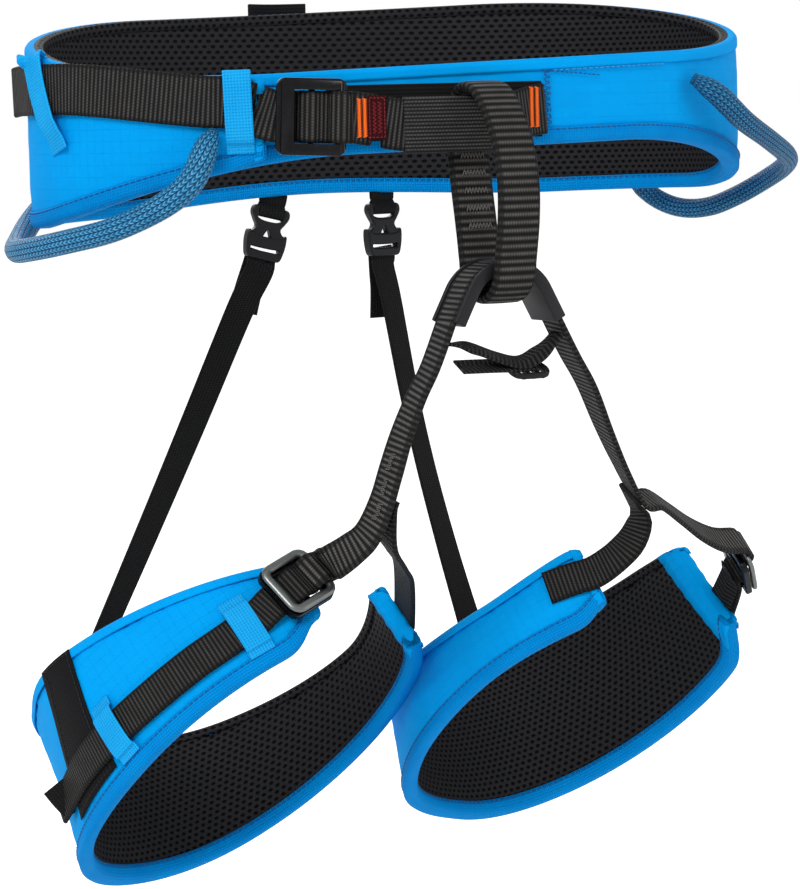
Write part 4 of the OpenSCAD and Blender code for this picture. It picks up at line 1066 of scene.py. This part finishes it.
def ring_point(turn, side, foot=0.0):
    r = np.radians(turn)
    return np.array([belay_x + side*(web_r*np.sin(r) + foot*np.cos(r)), bend_y,
                     guard_z + web_r*np.cos(r) - foot*np.sin(r)])


joints = {-1: [-69.5, -109, -166], 1: [67, -96, -175]}


def web_across(leg):
    return unit(np.array([0, 1, 0.25]) + leg.up*0.7)


def down_line(leg):
    end = ring_point(guard_turn, leg.side, guard_foot)
    way = {-1: [[-50, -120, -108], [-56, -117, -121.5], [-61.5, -114, -137], [-66, -112, -152]],
           1: [[18, -120, -106], [29, -116, -121], [41, -110, -141], [53, -104, -159]]}[leg.side]
    return np.concatenate([[end], way, [joints[leg.side]]])


def strand(leg):
    """One side of the leg webbing, from the foot of the guard through the sewn joint to the buckle."""
    at, ahead, normal = leg.buckle_place()
    rise = unit(np.cross(normal, ahead))*leg.side
    way = [[-74.5, -105.5, -178.5], [-80, -101, -185], [-84.5, -92, -191]] if leg.side < 0 else \
        [at_depth(655, 500, [80, -90, -176]), at_depth(675, 514, [96, -80, -185]),
         at_depth(697, 530, [113, -72, -195]), at_depth(719, 540, [130, -66, -202])]
    run = put(at, ahead, normal, buckle_run(leg_buckle_long))[:5]
    p = np.concatenate([down_line(leg), way, run])
    d = lengths(p)
    joint = d[len(down_line(leg)) - 1]
    turn = (ease(20, joint, d) + ease(joint, d[-5], d))[:, None]
    first, second = np.array([0, 1.0, 0]), web_across(leg)
    side = mix(mix(first, second, np.minimum(turn, 1)), rise, np.maximum(turn - 1, 0))
    both = curve(np.concatenate([p, side], 1), 6)
    return both[:, :3], unit(both[:, 3:])


over = np.array([ring_point(abs(a), -1 if a < 0 else 1) for a in np.linspace(-guard_turn, guard_turn, 25)])
p1, a1 = strand(RIGHT)
p2, a2 = strand(LEFT)
web_path = np.concatenate([p1[::-1], over[1:-1], p2])
across = np.concatenate([a1[::-1], np.tile([0, 1.0, 0], (len(over) - 2, 1)), a2])
leg_web = piece(strip(web_path, across, leg_web_w, web_thick), "leg_webbing_woven", LEG_WEB, "legs",
                ["leg_webbing"], "marked_webbing")

cross = curve([[-45, bend_y, -98.5], [-39, bend_y, -99.5], [-30, bend_y, -101.5], [-18, bend_y, -106],
               [-7, bend_y, -108.5], [2, bend_y, -104.5], [8, bend_y, -99.5], [10.4, bend_y, -97]], 5)
tail = curve([[-1, bend_y, -110.2], [-12, bend_y, -110.2], [-24, bend_y, -109.8], [-38, bend_y, -109.5]], 5)
tip, tip_out = np.array([0, 0.9, 0.436]), np.array([0, -0.436, 0.9])
level = np.tile([0, 1.0, 0], (len(cross), 1))
k = (ease(-42, -32, cross[:, 0])*(1 - ease(0, 9, cross[:, 0])))[:, None]
piece([strip(cross, unit(mix(level, tip, k)), 11, 1.4), strip(tail + [0, 0, 0.8], tip, 11, 1.2)],
      "cross_strap_tape", LOAD, "legs", ["cross_strap"], "black_tape")


def inner_strap(leg):
    above = curve(down_line(leg), 3)
    joint = np.array(joints[leg.side], float)
    flat = unit(np.cross(joint - above[-3], web_across(leg)))
    flat = flat*(1 if flat @ np.array([-leg.side, 0, 0]) > 0 else -1)*(web_thick + 0.6)
    start = [above[-2] + flat*0.9, joint + flat*1.0]
    target = leg.inner - 5
    way = [[-64.5, -104, -182], [-51, -87, -193], [-36, -65, -203]] if leg.side < 0 else \
        [at_depth(640, 517, [65, -95, -184]), at_depth(633, 538, [58, -93, -193]),
         at_depth(617, 556, [47, -90, -202])]
    phi = np.array([target + 5.5, target - 1, target - 9])
    ends = leg.at(phi, 20 + (target + 5.5 - phi)*0.2, strap_out + leg.side*0.1)
    p = curve(np.concatenate([start, way, ends]), 6)
    m = len(p) - 1
    k = ease(8, m - 9, np.arange(m + 1))[:, None]
    return strip(p, unit(mix(web_across(leg), leg.up, k)), leg_web_w, web_thick, step=3)


for side, leg in BOTH:
    piece(inner_strap(leg), side + "_inner_webbing", LEG_STRAP, "legs", [side + "_inner_strap"],
          "load_webbing")

# ---------- leg straps, keepers, stoppers and anchors ----------

for side, leg in BOTH:
    at, ahead, normal = leg.buckle_place()
    turns = np.linspace(leg.buckle + 15, leg.tail, 10)
    heights = leg.strap_s(turns)
    tails = leg.at(turns, heights, strap_out + 0.1 + 3*ease(leg.tail - 8, leg.tail, turns))
    rise = unit(np.cross(normal, ahead))*leg.side
    over = np.concatenate([np.tile(rise, (7, 1)), leg.rise_at(turns, heights)])
    p = np.concatenate([put(at, ahead, normal, buckle_run(leg_buckle_long))[4:], tails])
    piece(strip(curve(p, 5), unit(curve(over, 5)), leg_web_w, web_thick), side + "_leg_strap_woven",
          LEG_STRAP, "legs", [side + "_leg_strap"], "ribbed_webbing")
    beyond = leg.outer > leg.buckle
    turn = leg.outer - 0.7 if beyond else leg.buckle + 10.0
    end = leg.at(turn, leg.strap_s(turn), -1.6 if beyond else 0.55)
    line = anchor_line(leg_buckle_long, at, ahead, normal, end)
    k = np.linspace(0, 1, len(line))[:, None]
    piece(strip(line, unit(mix(rise, leg.rise_at(turn, leg.strap_s(turn)), k)), 14, 0.8),
          side + "_leg_anchor_tape", LOAD, "legs", [side + "_leg_anchor"], "load_webbing")
    bands = []
    for phi in ((35, 81) if leg.side < 0 else (76, 108)):
        s = float(leg.strap_s(phi))
        line = np.array([[15, 0.7], [10.9, 1.3], [9, 3.3], [0, 3.8], [-9, 3.3], [-10.9, 1.3], [-14, 0.7]])
        p = curve(leg.at(phi + 0*line[:, 0], s + line[:, 0], line[:, 1]), 5)
        bands.append(strip(p, unit(leg.at(phi + 2, s, 0) - leg.at(phi - 2, s, 0)), 12, 1.1, swell=0.15))
    piece(bands, side + "_leg_keeper_bands", ELASTIC, "legs", [side + "_leg_keepers"], "elastic_tape")
    phi = leg.tail - 2
    s = float(leg.strap_s(phi))
    top = leg.at(phi, s, strap_out + web_thick + 4)
    if side == "right":
        top = top + leg.normal(np.float64(phi))
        corners = np.array([at_depth(x, y, top) for x, y in ((56, 784), (65, 795), (78, 809))])
        p, wide, fold_w = curve(corners, 5), corners[0] - at_depth(66, 778, top), 14
    else:
        p = curve(put(top, leg.at(phi + 2, s, 0) - leg.at(phi - 2, s, 0), leg.normal(np.float64(phi)),
                      [[-9, 0, 0.6], [-4, 0, 0.7], [0, 0, 0.6], [4, 0, 0.5]]), 5)
        wide, fold_w = leg.rise_at(phi, s), leg_web_w
    piece(strip(p, unit(wide), fold_w, 3.4, swell=0.2), side + "_tail_end_fold", BLACK, "legs",
          [side + "_leg_stopper"], "black_tape")

# the bare label on the right leg: a sewn patch, with rows as [share of the height, turn, turn]
rows = np.array([[1, 80, 94], [0.72, 83, 100], [0.4, 86, 107], [0, 87, 111]], float)
fine = curve(rows, 8)
k = np.linspace(0, 1, 14)[None, :]
phi = mix(fine[:, 1:2], fine[:, 2:], k)
tall = mix(9, RIGHT.high(phi) - 0.4, fine[:, :1])
label_w, label_out, label_in = 24.0, 0.62, 0.15
grid = np.concatenate([RIGHT.at(phi, tall, label_out), RIGHT.at(phi, tall, label_in)[:, ::-1]], 1)
v = np.concatenate([k[0], k[0][::-1], [0]])*label_w
piece(skin(grid, lengths(grid[:, 0]), v), "blank_label", LABEL, "legs", ["right_leg_label"], "label")
rim_turn = np.concatenate([phi[1:-1, 1], phi[-2, 1:-1], phi[1:-1, -2][::-1], phi[1, 1:-1][::-1]])
rim_tall = np.concatenate([tall[1:-1, 0], tall[-2, 1:-1], tall[1:-1, 0][::-1], tall[1, 1:-1][::-1]])
piece(stitches(RIGHT.at(rim_turn, rim_tall, 0.65), RIGHT.normal(rim_turn), 2.6, 1.9, 0.2),
      "blank_label_stitches", DIM_THREAD, "legs", slot="label")

# ---------- rear tabs, clips and risers ----------

clip_places = {-1: (185.7, 14.0, 0.0), 1: (165.8, 0.0, 12.0)}
hook_bar, riser_turn = 20.0, 162.0


def clip_axes(side):
    turn, b, c = clip_places[side]
    b, c = np.radians([b, c])
    across = np.array([np.cos(b)*np.cos(c), np.cos(b)*np.sin(c), -np.sin(b)])
    back = np.array([-np.sin(c), np.cos(c), 0])
    return pad_at(float(turn), -belt_thick/2, -47.0), across, back


def below_clip(side, x, y, drop):
    at, across, back = clip_axes(side)
    return at + across*x + back*y - np.cross(across, back)*drop


def wire_loop(path, normal, wide, tall, sides=16):
    """A closed bar carried round a ring: an oval, wide in the ring's plane and tall along the normal."""
    t = unit(np.roll(path, -1, 0) - np.roll(path, 1, 0))
    s = unit(np.cross(t, normal))
    a = np.linspace(0, 2*np.pi, sides + 1)
    grid = (path[:, None] + s[:, None]*(wide*np.cos(a[:-1]))[None, :, None]
            + normal*(tall*np.sin(a[:-1]))[None, :, None])
    return skin(grid, lengths(np.concatenate([path, path[:1]])), a*1.6, loop=True)


def closed_curve(p, count=6):
    p = np.array(p, float)
    return curve(np.concatenate([p[-1:], p, p[:2]]), count)[count:-count - 1]


def plate(name, outline, holes, thick, rounding, place_on, body, nodes, material, slot):
    """A moulded plate: a smooth outline with holes, filled, made thick, its edges rounded, and laid
    where place_on puts its (across, up, through) places."""
    flat = bpy.data.curves.new(name, "CURVE")
    flat.dimensions, flat.fill_mode = "2D", "BOTH"
    flat.extrude, flat.bevel_depth, flat.offset = thick/2 - rounding, rounding, -rounding
    flat.bevel_resolution = 3
    for ring in [outline] + holes:
        q = closed_curve(ring)
        line = flat.splines.new("POLY")
        line.points.add(len(q) - 1)
        line.points.foreach_set("co", np.column_stack([q, 0*q[:, 0], 0*q[:, 0] + 1]).ravel())
        line.use_cyclic_u = True
    maker = bpy.data.objects.new(name, flat)
    scene.collection.objects.link(maker)
    mesh = bpy.data.meshes.new_from_object(evaluated(maker))
    bpy.data.objects.remove(maker)
    merge(mesh, 1e-4)
    mesh.vertices.foreach_set("co", (place_on(verts_of(mesh))*MM).ravel())
    made = linked(name, mesh, material)
    made.modifiers.new("flat_faces", "WEIGHTED_NORMAL").weight = 80
    return settled(made, body, nodes, slot)


def mirrored(points_right):
    """A closed outline from the places of its right half, top to bottom."""
    return points_right + [[-x, y] for x, y in points_right[::-1]]


# local places of a rear clip in its own plane: [across, up], the middle of its top bar at the origin
clip_head = mirrored([[5, 2.6], [9.2, 1.8], [10, -1.5], [8.2, -5], [6.6, -7.5], [7.4, -9.5], [9.6, -11.5],
                      [9.4, -15.2], [5, -16]])
clip_head_holes = [mirrored([[3, -1.9], [6.2, -2.2], [6.4, -3.6], [3, -4.6]]),
                   mirrored([[0.7, -9.4], [2.4, -13.6], [1.2, -14.2]])]
clip_foot = mirrored([[6.2, -12], [9.8, -10], [10.6, -13.5], [10, -19], [8.4, -23], [4, -23.4]])
clip_foot_holes = [mirrored([[4, -17.8], [7.4, -17.6], [7.4, -19], [4, -19.2]])]
riser_w, riser_thick, tab_w, tab_thick = 15, 1.4, 14, 1.1
wire_wide, wire_tall, wire_corner = 2.0, 1.3, 3.5
wire_z = frame_z + 1.65

for (side, leg), bow, drop in zip(BOTH, (1, -4.5), (30, 34)):
    at, across, back = clip_axes(leg.side)
    down = -np.cross(across, back)
    a = np.radians(np.linspace(-215, 35, 22))
    loop = np.stack([0*a, 2.5*np.cos(a), -2.5*np.sin(a)], 1)
    loop = np.concatenate([[[0, -0.6, -9.5], [0, -0.6, -5.0]], loop[::-1], [[0, 0.6, -5.0], [0, 0.6, -9.5]]])
    piece(strip(curve(laid(at, across, back, down)(loop), 2), across, tab_w, tab_thick),
          side + "_rear_tab_tape", BLACK, "waist_belt", [side + "_rear_tab"], "black_tape")
    h = float(leg.high(riser_turn))
    start = below_clip(leg.side, 0, 0, hook_bar + 1.65)
    over = leg.at(riser_turn, h + 5.5, -leg.thick - 2)
    line = [start, below_clip(leg.side, 0, 0, hook_bar + 5), below_clip(leg.side, 0, 0, hook_bar + 9)]
    line += [mix(start, over, k) + np.array([bow*np.sin(np.pi*k), 0, 0])
             for k in (0.12, 0.35, 0.55, 0.75, 0.92)]
    line += [over, leg.at(riser_turn, h + 3.2, -2.0), leg.at(riser_turn, h - 2, 2.2),
             leg.at(riser_turn, h - 18, 2.2)]
    p = curve(line, 6)
    count = np.arange(len(p))
    width = leg.at(riser_turn + leg.side*5, 0, 0) - leg.at(riser_turn - leg.side*5, 0, 0)
    k = ease(0.1*len(p), 0.75*len(p), count)[:, None]
    twist = 0.45*np.sin(np.pi*ease(0, len(p), count))[:, None] if leg.side > 0 else 0
    riser = piece(strip(p, unit(mix(across, -unit(width), k) + twist*back), riser_w, riser_thick),
                  side + "_riser_elastic", BLACK, None, [side + "_riser"], "black_tape")
    side + "_riser"
    side + "_hook"
    tuple(over*MM)
    tuple(start*MM)
    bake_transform(riser)
    y = 1.5 + seat + 0.7
    tail = [below_clip(leg.side, leg.side*x, y + out, hook_bar + d)
            for x, out, d in ((0, 0, -1), (1, 0.8, 10), (2, 1.4, 20), (2, 2.2, drop))]
    piece(strip(curve(tail, 6), across, riser_w, riser_thick), side + "_riser_end", BLACK, side + "_hook",
          [side + "_riser_tail"], "black_tape")
    on_clip = laid(at, across, -down, back)
    plate(side + "_clip_head", clip_head, clip_head_holes, 4.4, 1.0, on_clip, side + "_riser",
          [side + "_clip_socket"], PLASTIC, "black_plastic")
    plate(side + "_clip_foot", clip_foot, clip_foot_holes, 5.4, 1.0, on_clip, side + "_hook",
          [side + "_clip_hook"], PLASTIC, "black_plastic")
    softened(side + "_leg_buckle_base", DARK_METAL, "legs", "dark_anodised")
    at, ahead, normal = leg.buckle_place()
    x, y = leg_buckle_long/2 - 1.7 - wire_corner, leg_web_w/2 + 3.4 - wire_corner
    a = np.radians(np.linspace(0, 90, 7))
    quarter = np.stack([np.cos(a), np.sin(a)], 1)*wire_corner
    corners = ((0, 1, 1), (np.pi/2, -1, 1), (np.pi, -1, -1), (-np.pi/2, 1, -1))
    ring = np.concatenate([quarter @ [[np.cos(k), np.sin(k)], [-np.sin(k), np.cos(k)]] + [x*sx, y*sy]
                           for k, sx, sy in corners])
    ring = evenly(np.concatenate([ring, ring[:1]]), 1.2)[:-1]
    centre = put(at, ahead, normal, np.insert(ring, 2, wire_z, axis=1))
    piece(wire_loop(centre, normal, wire_wide, wire_tall), side + "_leg_buckle_wire", GREY_METAL,
          side + "_leg_buckle_frame", [side + "_leg_buckle_frame"], "grey_anodised")

softened("waist_buckle_base", DARK_METAL, "waist_belt", "dark_anodised")
softened("waist_buckle_frame", DARK_METAL, "waist_buckle_frame", "dark_anodised")
softened("ring_guard", GUARD, "legs", "guard_plastic")
slider = mirrored([[4, 5.6], [8, 4.2], [9.4, 0], [8, -4.2], [4, -5.6]])
slots = [[[x - 1.1, 3.6], [x + 1.1, 3.6], [x + 1.1, -3.6], [x - 1.1, -3.6]] for x in (-4.4, 0.2, 4.8)]
plate("cross_slider", slider, slots, 2.8, 0.8,
      laid(np.array([-5, bend_y - 1.5, -111.8]), np.array([1, 0, 0]), tip, tip_out), "legs", ["cross_buckle"],
      PLASTIC, "black_plastic")

# ---------- sewing that shows ----------


def sewn_frame(name, carriers, up_way, off=(0, 0)):
    """Where a named image point, moved by off, meets its carriers: (place mm, side, up, normal)."""
    x, y = points[name][0] + off[0], points[name][1] + off[1]
    at, normal = place(x, y, carriers)
    n = np.array(normal)
    if n @ np.array(image_ray(x, y)) > 0:
        n = -n
    u = np.array(up_way, float)
    u = unit(u - n*(u @ n))
    return np.array(at)/MM, unit(np.cross(u, n)), u, n


at, side, rise, n = sewn_frame("front_stitching", [waist_strap, belt_pad], [0, 0, 1])
piece([zigzag(at - rise*8.5 + side*x, rise, side, n, 17, 2.6, 34, 0.34) for x in (-3.0, 0.4)],
      "front_bar_tack", ORANGE, "waist_belt", slot="ribbed_webbing")
at, side, rise, n = sewn_frame("side_stitching", [waist_strap], [0, 0, 1])
piece([zigzag(at - rise*8 + side*x, rise, side, n, 16, 1.9, 32, 0.32) for x in (-2.2, 0.3)],
      "side_bar_tack", ORANGE, "waist_belt", slot="ribbed_webbing")
spot = at + side*6.4
cloth = strip(np.stack([spot + rise*k + n*0.35 for k in np.linspace(-9.2, 9.2, 8)]), side, 8.4, 0.7)
piece(cloth, "red_patch", RED_CLOTH, "waist_belt", slot="ribbed_webbing")
box = evenly(np.array([[-3.3, -8.2], [3.3, -8.2], [3.3, 8.2], [-3.3, 8.2], [-3.3, -8.2]]), 0.8)
red = [stitches(spot + side*box[:, :1] + rise*box[:, 1:] + n*0.75, np.tile(n, (len(box), 1)), 1.7, 1.3, 0.24)]
red += [zigzag(spot + side*x - rise*6.4 + n*0.5, rise, side, n, 12.8, 1.5, 16, 0.2) for x in (-1.9, 0.5)]
piece(red, "red_sewing", RED, "waist_belt", slot="ribbed_webbing")
tack_at = np.array(place(*points["web_stitching"], [leg_web])[0])/MM
k = np.linalg.norm(web_path - tack_at, axis=1).argmin()
rows = []
for row in (-1, 0, 1):
    at, side, rise, n = sewn_frame("web_stitching", [leg_web], web_path[k + 3] - web_path[k - 3],
                                   (6.5*row, -25*row))
    rows.append(zigzag(at - rise*3.6 - side*1.6, rise, side, n, 7.5, 3.6, 9, 0.26))
piece(rows, "leg_web_tacks", GREY_THREAD, "legs", slot="load_webbing")

# ---------- floor, light and world ----------

floor_z = -0.62
floor_mesh = bpy.data.meshes.new("floor")
corners = [(x, y, floor_z) for x, y in ((-9, -6), (9, -6), (9, 14), (-9, 14))]
floor_mesh.from_pydata(corners, [], [(0, 1, 2, 3)])
floor = bpy.data.objects.new("floor", floor_mesh)
scene.collection.objects.link(floor)
floor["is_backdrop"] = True
pale = Finish("pale_floor", (0.92, 0.92, 0.92), 0.9, Specular_IOR_Level=0.0)
seen = pale.node("ShaderNodeLightPath")
glow = pale.node("ShaderNodeEmission", None, {"Color": (1, 1, 1, 1), "Strength": 0.55})
both = pale.node("ShaderNodeAddShader", None, {0: pale.shader.outputs[0], 1: glow.outputs[0]})
pick = pale.node("ShaderNodeMixShader", None, {0: seen.outputs["Is Camera Ray"], 1: pale.shader.outputs[0],
                                               2: both.outputs[0]})
pale.tree.links.new(pick.outputs[0], pale.tree.nodes["Material Output"].inputs["Surface"])
floor_mesh.materials.append(pale.material)

world = bpy.data.worlds.new("studio")
scene.world = world
world.use_nodes = True
links, nodes = world.node_tree.links, world.node_tree.nodes
sky = nodes["Background"]
sky.inputs["Color"].default_value = (1, 1, 1, 1)
rays = nodes.new("ShaderNodeLightPath")
span = nodes.new("ShaderNodeMapRange")
light_strength, seen_strength = 0.7, 1.0     # on the piece, and as the camera sees it
span.inputs["To Min"].default_value, span.inputs["To Max"].default_value = light_strength, seen_strength
links.new(rays.outputs["Is Camera Ray"], span.inputs["Value"])
links.new(span.outputs[0], sky.inputs["Strength"])


def lamp(name, at, aim, size, power):
    data = bpy.data.lights.new(name, "AREA")
    data.shape, data.size, data.energy = "SQUARE", size, power
    lamp_object = bpy.data.objects.new(name, data)
    scene.collection.objects.link(lamp_object)
    turned = (Vector(aim) - Vector(at)).to_track_quat("-Z", "Y").to_matrix().to_4x4()
    lamp_object.matrix_world = Matrix.Translation(at) @ turned


lamp("key", (-2.2, -1.8, 1.9), (0, 0, -0.15), 1.4, 60)
lamp("fill", (2.2, -1.8, 0.6), (0, 0, -0.15), 2.0, 13)
lamp("back", (0.4, 2.4, 1.4), (0, 0, -0.1), 1.8, 22)

scene.view_settings.view_transform = "Standard"

# ---------- where the pieces fall in the picture ---


def shown(piece):
    """The middle of a piece's picture place."""
    q = image_of(points_of(piece))
    return (q.min(0) + q.max(0))/2


for name, made in (("waist_buckle", "waist_buckle_frame_finished"), ("front_stitching", "front_bar_tack"),
                   ("side_stitching", "side_bar_tack"), ("cross_buckle", "cross_slider"),
                   ("right_leg_buckle", "right_leg_buckle_wire"), ("left_leg_buckle", "left_leg_buckle_wire"),
                   ("right_leg_label", "blank_label"), ("right_leg_tail", "right_tail_end_fold"),
                   ("right_clip", "right_clip_head"), ("left_clip", "left_clip_head"),
                   ("belay_loop", "belay_loop_woven"), ("web_stitching", "leg_web_tacks")):
    q = shown(bpy.data.objects[made])
whole = np.concatenate([image_of(points_of(p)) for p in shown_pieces() if p.type == "MESH"])
